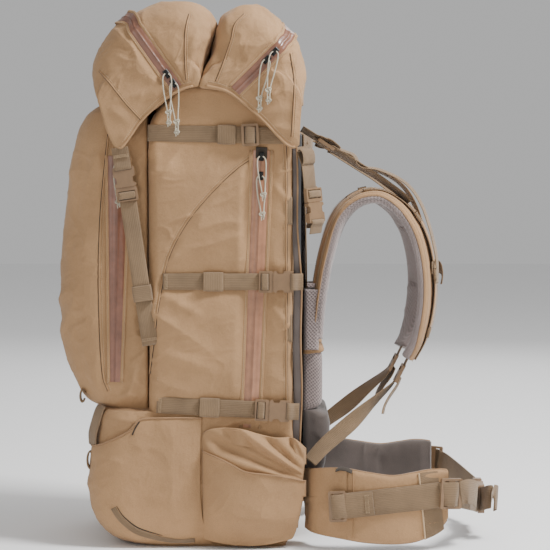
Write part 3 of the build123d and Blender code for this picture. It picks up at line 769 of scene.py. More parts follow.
def base_pocket():
    """The stash pocket that wraps the base's front and sides, snug at its top edge."""
    count, rows, full = 360, 64, 900
    grid = np.zeros((rows, count, 3))
    probe = base_ring(100, full)
    keep = np.where(probe[:, 1] < 14)[0]
    pick = keep[np.linspace(0, len(keep) - 1, count).astype(int)]
    top = BASE_EDGE(probe[pick, 1])
    for i, share in enumerate(np.linspace(0, 1, rows)):
        z = 5 + (top - 5) * share
        grid[i, :, 2] = z
        for level in np.unique(np.round(z, 0)):
            chosen = np.round(z, 0) == level
            grid[i, chosen, :2] = base_ring(level, full, 2.0)[pick[chosen]]
    share = np.linspace(0, 1, rows)[:, None]
    ends = np.minimum(np.arange(count), np.arange(count)[::-1]) / 26
    swelling = 8.5 * np.sin(np.pi * np.clip(share * 0.92, 0, 1)) ** 0.55 * (0.12 + 0.88 * np.clip(ends, 0, 1))
    gather = 1.6 * np.sin(np.arange(count) / 4.1) * smoothstep(0.82, 1, share)
    crease = creased(
        grid, (2.6, 46, (0.6, 0.6, -0.25), 3.0, 61), (1.4, 22, (0.5, 0.7, 0.3), 2.6, 63),
        (0.7, 11, (0.5, 0.6, 0.5), 2.4, 65)
    )
    outward = outward_normals(grid, BASE_MIDDLE)
    height = swelling + gather * 0.4 + crease * (0.35 + 0.65 * np.sin(np.pi * share)) * np.clip(ends, 0, 1)
    grid = grid + outward * (height + 1.2)[..., None]
    grid[..., 2] = np.maximum(grid[..., 2], 3.0)
    lip = grid[-1] - outward[-1] * 2.5 + [0, 0, -1]
    inner = lip + [0, 0, -14]
    grid = np.vstack([grid, lip[None], inner[None]])
    shell = grid_object("base_pocket_shell", grid, "fabric")
    tube("base_pocket_binding", grid[rows - 1][::2] + [0, 0, 0.3], 1.5, "binding")
    return shell


BOTTLE_EDGE = curve_value([
    (15, 172), (30, 180), (63, 183), (80, 181), (100, 174), (120, 169), (140, 168), (155, 166), (172, 150)
])
PATCH_EDGE = curve_value([(15, 147), (40, 139), (63, 128), (81, 119), (110, 115), (140, 110), (174, 101)])


def bottle_layer(name, side, edge, out, low_front, radiating, seed, over=None):
    """One layer of a side pocket: a bulging sheet from its sewn edges. radiating folds fan out from its rear edge."""
    columns, rows = 190, 120
    across, up = np.linspace(0, 1, columns)[None, :], np.linspace(0, 1, rows)[:, None]
    y_low, y_high = low_front + (150 - low_front) * across, 15.5 + (172 - 15.5) * across
    low = 5 + 15 * (1 - np.sin(math.pi * (0.14 + 0.72 * across)))
    y = y_low + (y_high - y_low) * up**0.6
    z = low + (edge(y_high) - low) * up
    drawn = 0.28 * smoothstep(0.62, 1, up) if over is None else 0.05 * up
    fullness = 0.30 + 0.70 * smoothstep(0, 0.42, up) - drawn
    height = out * np.clip(np.sin(np.pi * across), 0, 1) ** 0.5 * fullness
    within = np.clip(np.sin(np.pi * across) * 2.4, 0, 1)
    angle = np.arctan2(z - 92, 196 - y)
    ray = np.sin(angle * 24 + 1.2 * np.sin(angle * 7)) + 0.5 * np.sin(angle * 41 + 0.8)
    height = height + radiating * ray * smoothstep(0.42, 0.9, up) * within
    grid = np.stack([np.zeros_like(y), y, z], axis=-1)
    crease = creased(grid, (2.0, 44, (0, 0.7, -0.6), 3.2, seed), (1.0, 22, (0, 0.6, 0.7), 2.6, seed + 2))
    x = BAG_HALF + 1.0 + np.maximum(height + crease * within, 0)
    if over is not None:
        inward = Vector((-side, 0, 0))
        beneath = np.array([
            over.ray_cast(Vector((400 * side, *p)), inward)[0] or (0, 0, 0) for p in grid[..., 1:].reshape(-1, 2)
        ])
        x = np.maximum(x, np.abs(beneath[:, 0]).reshape(x.shape) + 1.2 + 1.2 * up)
    grid[..., 0] = side * np.minimum(x, BOTTLE_FACE + (5 if over is not None else 3))
    return grid, grid_object(name, turned_in(grid, side), "fabric", flip=side < 0)


def turned_in(grid, side):
    """A sheet with its top edge rolled over and a hem inside."""
    roll = grid[-1] + [-side * 1.6, 0, 1.2]
    hem = grid[-1] + [-side * 3.0, 0, -1.0]
    inside = grid[-1] + [-side * 3.6, 0, -24.0]
    inside[:, 0] = side * np.maximum(np.abs(inside[:, 0]), BAG_HALF + 0.8)
    return np.vstack([grid, roll[None], hem[None], inside[None]])


def bottle_pocket(name, side):
    """A side pocket: a gathered, elastic-topped pocket with a lower patch pocket over it."""
    _, shell = bottle_layer(f"bottle_shell_{name}", side, BOTTLE_EDGE, 23, 18, 5.2, 71 + int(side))
    under = Skin(shell).tree
    lower, _ = bottle_layer(f"bottle_patch_{name}", side, PATCH_EDGE, 29, 17, 0.0, 81 + int(side), under)
    tube(f"bottle_binding_{name}", lower[-1][2:-2] + [side * 0.8, 0, 0.5], 1.3, "binding")
    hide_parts(f"bottle_pocket_{name}")


# ================================================================ the lid
FRONT_TOP = smooth([
    (33, 772), (30, 790), (14, 810), (-14, 819), (-45, 817), (-78, 807), (-112, 784), (-138, 748), (-147, 722),
    (-143, 690), (-132, 655), (-122, 622), (-112, 603)
], 170)
FRONT_EDGE = smooth([
    (-112, 603), (-103, 601), (-90, 618), (-75, 639), (-45, 668), (-15, 686), (4, 692), (11, 694)
], 80)
REAR_TOP = smooth([
    (37, 770), (41, 786), (54, 803), (78, 814), (108, 808), (138, 784), (158, 754), (168, 716), (166, 680),
    (163, 645), (161, 606)
], 140)
REAR_EDGE = smooth([(161, 606), (153, 601), (142, 606), (126, 622), (108, 641), (78, 667), (52, 685), (14, 694)], 80)


def valley_line(z):
    """Where the lid's two lobes meet, in y, at a height."""
    return 12 + 0.29 * (np.clip(z, 690, 800) - 694)


def lobe(name, top, edge, valley, centre, under, seed, squash_side, zip_line, pleats):
    """One lid pocket: a soft loaf across the pack whose side panels run down into flaps."""
    wall = np.linspace(edge[-1], top[0], 26)[1:-1]
    wall[:, 0] += valley * 2.0 * np.sin(np.linspace(0, math.pi, len(wall)))
    outline = np.vstack([top, edge[1:], wall])
    y, z = outline.T
    centre = np.array(centre, float)
    steps = np.concatenate([np.linspace(0.02, 0.36, 34), np.linspace(0.37, 0.62, 26), np.linspace(0.63, 1, 36)])
    full = np.concatenate([steps, (2 - steps[:-1])[::-1]])
    low_cut = np.array([under(v) for v in y])
    high = smoothstep(-6, 52, z - low_cut)
    rounding, bulge = 46.0, 5.0
    cap, turning_part, waist, level_part = 0.36, 0.26, 0.62, 0.38  # shares of the way from a side's middle to the top's
    rows = []
    for t in full:
        side = 1.0 if t <= 1 else -1.0
        t = t if t <= 1 else 2 - t
        turn = np.clip((t - cap) / turning_part, 0, 1) * math.pi / 2
        inset = rounding * (1 - math.sin(turn)) * high
        if t < waist:
            x_round = LID_HALF - rounding + rounding * math.cos(turn)
            x_low = LID_HALF - 1 - 10.5 * smoothstep(0.37, 0.43, t)
        else:
            x_round, x_low = (LID_HALF - rounding) * (1 - t) / level_part, 152.6 * (1 - t) / level_part
        x = x_low * (1 - high) + x_round * high
        middle = smoothstep(0.43, 0.50, t)
        level = z * (1 - middle) + np.maximum(z, low_cut) * middle
        point = np.stack([y, level], axis=1)
        away = point - centre
        reach = np.linalg.norm(away, axis=1, keepdims=True)
        point = centre + away * (1 - inset[:, None] / np.maximum(reach, 1))
        if t < cap:
            share = t / cap
            point = centre + (point - centre) * share
            x = x + bulge * (1 - share**2)
        rows.append(np.stack([side * x, point[:, 0], point[:, 1]], axis=1))
    grid = np.array(rows)
    outward = outward_normals(grid, (0, centre[0], centre[1] - 20), closed=True)
    soft = creased(
        grid,
        (3.6, 50, squash_side, 3.0, seed),
        (2.1, 25, (0.3, 0.6, 0.8), 2.6, seed + 2),
        (0.9, 12, (0.3, 0.7, 0.6), 2.5, seed + 6),
    )
    soft = soft + 2.0 * swell(grid, 65, seed + 4)
    x, y, z = np.moveaxis(grid, 2, 0)
    near_split = np.exp(-(((y - valley_line(z)) / 16) ** 2))
    gathers = 2.4 * near_split * np.sin(x / 5.2 + 2 * np.sin(x / 31)) * smoothstep(700, 780, z)
    flap = 1 - smoothstep(640, 700, z)
    tucks = pleated(y, z, *pleats) * smoothstep(100, 150, np.abs(x))
    height = (soft + gathers) * (1 - 0.5 * flap) + tucks
    grid = grid + outward * np.clip(height, -4, 8)[..., None] * 0.9
    limit = LID_HALF + 0.1 + 6.9 * off_zip(grid[..., 1], grid[..., 2], zip_line, 10, 26)
    grid[..., 0] = np.clip(grid[..., 0], -limit, limit)
    if valley < 0:
        grid[..., 1] = np.minimum(grid[..., 1], valley_line(grid[..., 2]) - 0.5)
    else:
        grid[..., 1] = np.maximum(grid[..., 1], valley_line(grid[..., 2]) + 0.5)
    return grid_object(name, grid, "fabric", body="lid", closed=True, caps=(True, True))


FRONT_PLEATS = [  # start, end, width, height
    ((-28, 688), (-92, 676), 7, 3.4), ((-34, 676), (-84, 650), 6, 3.0), ((-6, 700), (8, 776), 5, 3.6),
    ((4, 700), (22, 770), 4, 3.6), ((-90, 640), (-122, 662), 7, 2.6), ((-52, 700), (-116, 740), 10, 2.4),
    ((-20, 712), (-30, 776), 9, 2.2), ((-12, 790), (-60, 800), 9, 2.0), ((-86, 628), (-108, 612), 5, 2.6),
    ((-70, 706), (-84, 742), 7, 2.0),
]
REAR_PLEATS = [
    ((44, 702), (64, 760), 6, 3.2), ((30, 704), (46, 768), 5, 3.4), ((66, 676), (112, 700), 7, 3.2),
    ((84, 664), (140, 690), 7, 3.0), ((104, 648), (154, 664), 6, 2.6), ((118, 634), (156, 628), 5, 2.8),
    ((96, 770), (130, 740), 9, 2.4), ((58, 780), (92, 790), 8, 2.2), ((150, 610), (158, 700), 6, 2.4),
    ((74, 720), (104, 758), 8, 2.0),
]


FLAP_TOP = 706.0  # height below which the lid's pockets are only side flaps


def front_under(y):
    """The front lid pocket's underside: its height at y."""
    return FLAP_TOP - 31.0 * (1 - smoothstep(-76, -66, y))


def rear_under(y):
    """The rear lid pocket's underside: its height at y."""
    return FLAP_TOP - 34.0 * smoothstep(150, 156, y)


# ================================================================ build the soft shells
column = bag_column()
bag_base()
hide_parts("main_bag")
pocket = front_pocket()
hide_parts("front_pocket")
stash = base_pocket()
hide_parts("base_pocket")
for side_name, side_sign in SIDES.items():
    bottle_pocket(side_name, side_sign)
lid_front = lobe(
    "lid_front_shell", FRONT_TOP, FRONT_EDGE, -1, (-62, 712), front_under, 91, (0.15, -0.5, 1), LID_FRONT_ZIP,
    FRONT_PLEATS
)
lid_rear = lobe(
    "lid_rear_shell", REAR_TOP, REAR_EDGE, 1, (108, 716), rear_under, 101, (0.15, 0.5, 1), LID_REAR_ZIP, REAR_PLEATS
)
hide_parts("lid_front_pocket")
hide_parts("lid_rear_pocket")


# ================================================================ places on the pack
class Place:
    """A small frame on the pack: local X runs along a strap, local Z out of its face. side mirrors it in X."""

    def __init__(self, origin, along, outward, side=1.0):
        self.origin, self.flip = np.array(origin, float), np.array([side, 1, 1])
        self.x = np.array(along, float) / np.linalg.norm(along)
        z = np.array(outward, float)
        z = z - self.x * (z @ self.x)
        self.z = z / np.linalg.norm(z)
        self.y = np.cross(self.z, self.x)

    def at(self, points):
        """The frame's own (x, y, z) points, on the pack."""
        points = np.atleast_2d(np.asarray(points, float))
        return (self.origin + points @ np.array([self.x, self.y, self.z])) * self.flip

    def along(self, table, count):
        """A smooth line through (x, z) points of the frame's own middle plane."""
        line = smooth(table, count)
        return self.at(np.column_stack([line[:, 0], np.zeros(count), line[:, 1]]))

    @property
    def out(self):
        """The direction out of the frame's face."""
        return self.z * self.flip


OUT = (1, 0, 0)
STRAP_PLACES = {
    "compression_upper": ((158, 122, 402), (0, 1, 0), OUT),
    "compression_lower": ((158, 116, 209), (0, 1, -0.045), OUT),
    "lid_strap": ((158, -97, 543), (0, -0.148, 0.989), OUT),
    "rear_strap": ((148, 183, 521), (0, 0.10, -0.995), (0.72, 0.69, 0.07)),
}
WEB, WEB_THICK = 25.0, 1.6
BELT_WEB = 38.0


def side_line(skin, side, points, lift):
    """(y, z) points laid on one side of the pack, and the surface's normals there."""
    points = np.asarray(points, float)
    start = np.column_stack([np.full(len(points), side * 200.0), points])
    laid, normals = skin.drop(start, (-side, 0, 0), lift)
    laid[:, 0] = calm(laid[:, :1], 4)[:, 0]
    return laid, calm(normals, 4)


def offset_line(points, distance):
    """A (y, z) line moved sideways."""
    step = np.gradient(np.asarray(points, float), axis=0)
    step /= np.linalg.norm(step, axis=1, keepdims=True)
    return points + distance * np.column_stack([-step[:, 1], step[:, 0]])


def side_seam(name, skin, side, points, stitch=3.6, radius=1.3, body="pack"):
    """A seam down a side panel: piping, the shade along its edge, and a row of stitches beside it."""
    points = even(points, max(int(len(points)), 40))
    laid, _ = side_line(skin, side, points, 0.35)
    tube(name, laid, radius, "fabric", body, sides=6)
    shaded = -radius - 0.2 if stitch > 0 else radius + 0.2
    laid, _ = side_line(skin, side, offset_line(points, shaded), 0.1)
    tube(f"{name}_shade", laid, 0.65, "dark", body, sides=5)
    laid, normals = side_line(skin, side, offset_line(points, stitch), 0.1)
    merged(f"{name}_stitches", stitch_parts(laid, normals), "thread", body)


def sided(table, count, side):
    """A smooth line through points given for the right side, on either side."""
    return smooth(table, count) * [side, 1, 1]


def turning(start, end, count):
    """Outward hints along a strap that runs round the wearer's front: their X share goes from start to end."""
    return np.column_stack([np.linspace(start, end, count), np.ones(count), np.zeros(count)])


# ================================================================ zips
ZIP_SECTION = (
    (-1, 0.0), (-0.97, 0.8), (-0.5, 1.0), (-0.10, 1.25), (-0.06, 2.0), (0, 0.9), (0.06, 2.0), (0.10, 1.25),
    (0.5, 1.0), (0.97, 0.8), (1, 0.0)
)


def zip_tape(name, path, outward, widths, body="pack", material="zip"):
    """A coated zip: two flat halves of tape that meet in a ridge with a groove down it."""
    path = np.asarray(path, float)
    _, side, normal = frames_along(path, outward)
    widths = np.broadcast_to(np.asarray(widths, float), len(path))
    grid = np.stack([path + side * (widths * a / 2)[:, None] + normal * b for a, b in ZIP_SECTION], axis=1)
    return grid_object(name, grid, material, body)


def zip_with_lips(name, path, outward, widths, body="pack", lip=7.0, material="zip"):
    """A zip with the fabric's folded edges and their stitches on each side."""
    made = zip_tape(name, path, outward, widths, body, material)
    _, side, normal = frames_along(path, outward)
    widths = np.broadcast_to(np.asarray(widths, float), len(path))
    threads = []
    for edge in (-1, 1):
        middle = path + side * (edge * (widths / 2 + lip / 2 - 1.0))[:, None] + normal * 0.55
        ribbon(f"{name}_lip_{'a' if edge < 0 else 'b'}", middle, normal, lip, 0.9, "fabric", body)
        line = path + side * (edge * (widths / 2 + 2.0))[:, None] + normal * 1.1
        threads += stitch_parts(line, normal)
    merged(f"{name}_stitches", threads, "thread", body)
    return made


def straight(zip_line, face, side, start=0.0, end=1.0, count=40):
    """Points down a zip's straight line on one side."""
    (y0, z0), (y1, z1) = zip_line
    share = np.linspace(start, end, count)
    return np.column_stack([np.full(count, side * face), y0 + (y1 - y0) * share, z0 + (z1 - z0) * share])


PULL_SHAPE = [
    (0, 2.3), (1.5, 4.9), (7, 6.6), (18, 6.2), (34, 4.6), (48, 2.5), (56, 2.1), (60.5, 2.35),
    (60.5, -2.35), (56, -2.2), (48, -2.9), (34, -5.1), (18, -6.7), (7, -6.5), (1.5, -4.8), (0, -2.3),
]
SIDE_FACE, FRONT_FACE, LID_FACE = 150.2, 138.2, 164.2  # how far out the sliders' faces stand
PULLS = {  # zip line, distance down it, face, lift, lean, length
    "side_zip_upper": (SIDE_ZIP, 9, SIDE_FACE, 3.6, 0.06, 128.5),
    "side_zip_lower": (SIDE_ZIP, 38, SIDE_FACE, 0.0, 0.05, 127.6),
    "front_zip": (FRONT_ZIP, 12, FRONT_FACE, 0.0, 0.02, 127.5),
    "lid_front_upper": (LID_FRONT_ZIP, 92, LID_FACE, 3.6, 0.05, 128.5),
    "lid_front_lower": (LID_FRONT_ZIP, 109, LID_FACE, 0.0, 0.08, 128.0),
    "lid_rear_upper": (LID_REAR_ZIP, 26, LID_FACE, 3.6, -0.16, 130.0),
    "lid_rear_lower": (LID_REAR_ZIP, 43, LID_FACE, 0.0, -0.18, 129.6),
}


def knot_mesh(middle, size, tilt):
    """An overhand knot: a closed trefoil of cord."""
    t = np.linspace(0, 2 * math.pi, 60, endpoint=False)
    y = np.sin(t) + 2 * np.sin(2 * t)
    z = np.cos(t) - 2 * np.cos(2 * t)
    x = -np.sin(3 * t)
    c, s = math.cos(tilt), math.sin(tilt)
    line = np.column_stack([x * 1.5, (y * c - z * s) * size, (y * s + z * c) * size])
    return tube_mesh(line + middle, 1.05, 7, closed=True)


def pull_cord(name, node, body, side):
    """A slider's looped cord, its knot and its two short tails."""
    zip_line, distance, face, lift, lean, length = PULLS[name]
    (y0, z0), (y1, z1) = zip_line
    run = math.hypot(y1 - y0, z1 - z0)
    top = np.array([face + 8.1, y0 + (y1 - y0) * distance / run, z0 + (z1 - z0) * distance / run])
    route = np.array([
        (side * (top[0] + lift * min(drop / 10, 1)), top[1] + sideways + lean * drop, top[2] - drop)
        for drop, sideways in PULL_SHAPE
    ])
    curve = bpy.data.curves.new(node, "CURVE")
    curve.dimensions = "3D"
    line = curve.splines.new("NURBS")
    line.points.add(len(route) - 1)
    for point, place in zip(line.points, route * MM):
        point.co = (*place, 1)
    line.order_u = 3
    line.use_endpoint_u = True
    line.resolution_u = 8
    curve.bevel_depth, curve.bevel_resolution, curve.use_fill_caps = 0.001, 2, True
    curve.materials.append(MATERIALS["cord"])
    cord = bpy.data.objects.new(node, curve)
    bpy.context.scene.collection.objects.link(cord)
    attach(cord, body)
    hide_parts(node)

    bottom = np.array([side * (top[0] + lift), top[1] + lean * 57, top[2] - 57.5])
    parts = [knot_mesh(bottom, 1.55, tilt=0.3)]
    second = body.startswith("lid")
    for across, reach in ((1.6, 13.0), (-1.4, 15.0)) if second else ((1.5, 1.5), (-1.4, 3.0)):
        drops = [(0, across * 0.6, -2), (side * 0.6, across * 1.2, -5), (0, across * 0.9, -reach - 6)]
        parts.append(tube_mesh(smooth([bottom + drop for drop in drops], 10), 0.95, 7))
    if second:
        parts.append(knot_mesh(bottom + [0, 0, -13.5], 1.3, tilt=1.1))
    knot = merged(f"{node}_knot", parts, "cord", body)


# ================================================================ webbing
def wavy(path, size, seed):
    """A little waviness, so that a strap isn't dead straight."""
    path = np.asarray(path, float)
    turn = np.linspace(0, 1, len(path))
    wave = size * (np.sin(turn * 9.1 + seed) + 0.6 * np.sin(turn * 21 + 2.0 * seed)) * np.sin(np.pi * turn)
    return path + wave[:, None] * np.array([0.5, 0, 0.7])


def tack(name, place, x, z, width, rows=3, body="pack"):
    """A bar tack across a strap: close rows of stitches."""
    parts = []
    for k in range(rows):
        at = x + (k - (rows - 1) / 2) * 1.6
        across = np.linspace(-width / 2 + 2.5, width / 2 - 2.5, 12)
        line = place.at(np.column_stack([np.full(12, at), across, np.full(12, z)]))
        parts += stitch_parts(line, place.out, pitch=2.2, length=1.9, radius=0.42)
    merged(name, parts, "thread", body)


def keeper(name, place, x, long, width, low, high):
    """A wrapped band that holds a strap's loose layers: a closed loop round them."""
    half = width / 2 + 1.9
    loop = [
        (-half + 2, low), (half - 2, low), (half, low + 1), (half, high - 1), (half - 2.5, high),
        (0, high + 0.4), (-half + 2.5, high), (-half, high - 1), (-half, low + 1),
    ]
    outline = even(smooth(loop, 60, closed=True), 49)[:-1]
    middle = np.array([0, (low + high) / 2])
    hollow = (outline - middle) * [1 - 0.8 / half, 1 - 1.4 / (high - low)] + middle
    rows = []
    outside = [(k, outline) for k in np.linspace(-1, 1, 9)]
    inside = [(k, hollow) for k in np.linspace(1, -1, 9)]
    for share, ring in outside + inside + [(-1, outline)]:
        squeeze = 1 - 0.04 * share**2
        at = np.full(len(ring), x + share * long / 2)
        rows.append(place.at(np.column_stack([at, ring[:, 0] * squeeze, ring[:, 1]])))
    grid_object(name, np.array(rows), "webbing", "pack", closed=True)


def threaded(name, place, width, body):
    """The webbing that shows in a plug's ladder, over its middle bar."""
    line = place.along(
        [(-17.2, -2.2), (-16.8, 1.4), (-15.6, 3.9), (-12, 4.3), (-8.4, 3.9), (-7.2, 1.4), (-6.9, -2.2)], 30
    )
    ribbon(name, line, line - place.at([(-12, 0, -1.5)]), width, WEB_THICK, "webbing", body)


def anchored(name, place, width):
    """The webbing sewn round a socket's bar."""
    line = place.along([(45, -0.6), (38, 0.6), (32.5, 4.2), (29.4, 5.4), (26.6, 3.4), (26.4, -2.2)], 30)
    ribbon(name, line, line - place.at([(33, 0, -4)]), width, WEB_THICK)


WEB_LOW = -3.2 - 0.4 - WEB_THICK / 2  # where the webbing of a side strap lies under its plug


def side_straps(side_name, side):
    """The two compression straps and the top strap on one side."""
    made = []
    for name, start in (("compression_upper", -165.0), ("compression_lower", -169.0)):
        place = Place(*STRAP_PLACES[name], side)
        line = place.along([
            (start, WEB_LOW - 1.6), (start + 12, WEB_LOW - 0.4), (start + 60, WEB_LOW), (-60, WEB_LOW - 0.3),
            (-30, WEB_LOW - 0.5), (-3, WEB_LOW - 0.5)
        ], 60)
        made.append(ribbon(f"{name}_{side_name}", wavy(line, 0.35, start), place.out, WEB, WEB_THICK))
        tail = place.along([
            (-97, WEB_LOW + 2.6), (-70, WEB_LOW + 2.5), (-40, WEB_LOW + 2.6), (-24, WEB_LOW + 2.6),
            (-19, WEB_LOW + 1.9)
        ], 30)
        ribbon(f"{name}_tail_{side_name}", tail, place.out, WEB, WEB_THICK, body=f"{name}_plug_{side_name}")
        keeper(f"{name}_keeper_{side_name}", place, -89, 30, WEB, WEB_LOW - 1.8, WEB_LOW + 4.9)
        threaded(f"{name}_ladder_{side_name}", place, WEB - 0.6, f"{name}_plug_{side_name}")
        anchored(f"{name}_anchor_{side_name}", place, WEB)
        tack(f"{name}_tack_{side_name}", place, start + 5, WEB_LOW + 0.9, WEB)
    top = Place((151, 7, 622.5), (0, 1, -0.022), OUT, side)
    line = top.along([(-72, -2.0), (-58, -0.2), (-20, 0.3), (30, 0.8), (58, 0.3), (76, -1.8)], 50)
    made.append(ribbon(f"top_strap_{side_name}", wavy(line, 0.3, 2.0), top.out, WEB, WEB_THICK))
    line = top.along([
        (30, 2.2), (50, 2.4), (68, 2.4), (73.2, 4.6), (75.6, 8.6), (81, 9.6), (86.4, 8.6), (88.6, 4.6), (90, 1.2)
    ], 50)
    ribbon(f"top_strap_tail_{side_name}", line, line - top.at([(81, 0, -3)]), WEB, WEB_THICK)
    keeper(f"top_strap_keeper_{side_name}", top, 46, 27, WEB, -1.0, 5.4)
    line = top.along([(88, 3.2), (98, 2.6), (112, 0.8), (128, -0.4), (143, -1.4)], 24)
    ribbon(f"top_strap_anchor_{side_name}", line, top.out, WEB, WEB_THICK)
    return made


def lid_straps(side_name, side):
    """The front and rear lid straps of one side."""
    place = Place(*STRAP_PLACES["lid_strap"], side)
    line = place.along([
        (-239, WEB_LOW - 3.0), (-226, WEB_LOW - 0.6), (-160, WEB_LOW + 0.2), (-80, WEB_LOW + 0.4), (-40, WEB_LOW),
        (-3, WEB_LOW)
    ], 70)
    strap = ribbon(f"lid_strap_{side_name}", wavy(line, 0.6, 1.0), place.out, WEB, WEB_THICK)
    tail = place.along([
        (-168, WEB_LOW + 5.6), (-145, WEB_LOW + 4.6), (-115, WEB_LOW + 3.6), (-60, WEB_LOW + 2.9),
        (-28, WEB_LOW + 2.4), (-20, WEB_LOW + 2.0)
    ], 50)
    ribbon(
        f"lid_strap_tail_{side_name}", wavy(tail, 0.3, 2.0), place.out, WEB, WEB_THICK,
        body=f"lid_strap_plug_{side_name}"
    )
    keeper(f"lid_strap_keeper_{side_name}", place, -160, 24, WEB, WEB_LOW - 1.8, WEB_LOW + 7.6)
    tack(f"lid_strap_tack_{side_name}", place, -230, WEB_LOW + 0.9, WEB)
    threaded(f"lid_strap_ladder_{side_name}", place, WEB - 0.6, f"lid_strap_plug_{side_name}")
    line = place.along([(60, 5.2), (50, 3.6), (40, 2.6), (33, 4.8), (29.4, 5.6), (26.6, 3.4), (26.4, -2.2)], 40)
    ribbon(f"lid_tab_{side_name}", line, place.out, WEB, WEB_THICK, body="lid")
    tack(f"lid_tab_tack_{side_name}", place, 47, 4.8, WEB, body="lid")

    place = Place(*STRAP_PLACES["rear_strap"], side)
    line = place.along([
        (-84, -16), (-77, -13), (-66, -9), (-54, WEB_LOW - 0.5), (-30, WEB_LOW - 0.5), (-3, WEB_LOW - 0.5)
    ], 40)
    ribbon(f"rear_strap_{side_name}", line, place.out, WEB, WEB_THICK)
    roll = place.along([(-77, -12), (-80, -7), (-76, -2.0), (-68, -0.5), (-60, -1.5), (-57, -4.5)], 40)
    ribbon(f"rear_strap_roll_{side_name}", roll, roll - place.at([(-68, 0, -7)]), WEB, WEB_THICK)
    threaded(f"rear_strap_ladder_{side_name}", place, WEB - 0.6, f"rear_strap_plug_{side_name}")
    line = place.along([(47, -3.4), (42, -1.2), (36, 1.0), (32.5, 4.4), (29.4, 5.4), (26.6, 3.4), (26.4, -2.2)], 36)
    ribbon(f"rear_strap_anchor_{side_name}", line, place.out, WEB, WEB_THICK)
    return strap
# ================================================================ seams, zips, cords and straps laid on
bag_skin = Skin(column)
pocket_skin = Skin(pocket)
lid_skins = {"front": Skin(lid_front), "rear": Skin(lid_rear)}
REAR_SEAM = smooth([(143, 12), (143, 120), (142, 400), (142, 560), (138, 640)], 120)
POCKET_SEAM = smooth([(-126, 236), (-134, 262), (-138, 330), (-139, 420), (-136, 500), (-130, 570), (-124, 622)], 110)

for side_name, side in SIDES.items():
    side_seam(f"panel_seam_{side_name}", bag_skin, side, PANEL_SEAM)
    side_seam(f"rear_seam_{side_name}", bag_skin, side, REAR_SEAM[30:])
    side_seam(f"pocket_seam_{side_name}", pocket_skin, side, POCKET_SEAM, stitch=-3.4)
    path = straight(SIDE_ZIP, 150.5, side, end=1.045)
    tape = zip_with_lips(f"side_zip_{side_name}", path, (side, 0, 0), np.linspace(27, 24, 40), lip=6.0)
    garage = straight(SIDE_ZIP, 152.3, side, -0.012, 0.03, 12)
    ribbon(f"side_zip_garage_{side_name}", garage, (side, 0, 0), 17, 1.0, "dark")
    path = straight(FRONT_ZIP, 138.6, side, count=50)
    front_tape = zip_with_lips(
        f"front_zip_{side_name}", path, (side, 0, 0), np.linspace(33, 17, 50), lip=5.0, material="zip_dark"
    )
    if side > 0:
        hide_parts("side_zips")
        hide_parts("front_zips")
    for name in ("side_zip_upper", "side_zip_lower", "front_zip"):
        pull_cord(name, f"{name}_pull_{side_name}", f"{name}_slider_{side_name}", side)
    straps = side_straps(side_name, side)
    lid_web = lid_straps(side_name, side)
    if side > 0:
        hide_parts("compression_webbing")
        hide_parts("lid_webbing")


def lid_zip(name, zip_line, top, node):
    """A lid zip: straight on each side panel, and on over the top of the lid between them."""
    skin = lid_skins[name]
    right = straight(zip_line, 164.4, 1.0, 1.0, 0.0, 40)
    bend = np.array([[150, *top[0]], [110, *top[1]], [40, *top[2]], [0, *top[2]]])
    half = smooth(np.vstack([right[::6], bend]), 120)
    line = np.vstack([half, half[::-1][1:] * [-1, 1, 1]])
    laid, normals = [], []
    for point in line:
        hit, normal, _, _ = skin.tree.find_nearest(Vector(point))
        if normal.dot(Vector((point[0], point[1] - top[3][0], point[2] - top[3][1]))) < 0:
            normal = -normal
        laid.append(np.array(hit))
        normals.append(np.array(normal))
    laid, normals = calm(laid, 5), calm(normals, 10)
    tape = zip_with_lips(f"lid_{name}_zip", laid + normals * 0.3, normals, 19.0, "lid", lip=4.5, material="zip_dark")
    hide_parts(node)


lid_zip("front", LID_FRONT_ZIP, [(-100, 800), (-108, 800), (-110, 800), (-62, 700)], "lid_front_zip")
lid_zip("rear", LID_REAR_ZIP, [(150, 775), (146, 782), (146, 784), (108, 700)], "lid_rear_zip")
LID_SEAMS = {
    "front": [((-2, 800), (-7, 775), (-8, 740), (-6, 702)), ((-136, 716), (-120, 698), (-96, 668), (-74, 644))],
    "rear": [
        ((80, 800), (66, 784), (60, 760), (48, 725), (38, 700)), ((148, 742), (154, 700), (152, 650), (150, 618))
    ],
}
for lobe_name, lines in LID_SEAMS.items():
    for k, points in enumerate(lines):
        for side_name, side in SIDES.items():
            seam_name = f"lid_{lobe_name}_seam_{k}_{side_name}"
            side_seam(seam_name, lid_skins[lobe_name], side, smooth(points, 60), stitch=3.0, radius=1.0, body="lid")
for side_name, side in SIDES.items():
    for lobe_name, edge, inward in (("front", FRONT_EDGE, 0.6), ("rear", REAR_EDGE, -0.6)):
        hem, _ = side_line(lid_skins[lobe_name], side, edge[3:-3] + np.array([inward, 1.6]), 0.3)
        tube(f"lid_hem_{lobe_name}_{side_name}", hem[::2], 2.0, "fabric", "lid")
        inner, normals = side_line(lid_skins[lobe_name], side, edge[6:-6] + np.array([0, 8.5]), 0.15)
        merged(f"lid_hem_stitches_{lobe_name}_{side_name}", stitch_parts(inner, normals), "thread", "lid")

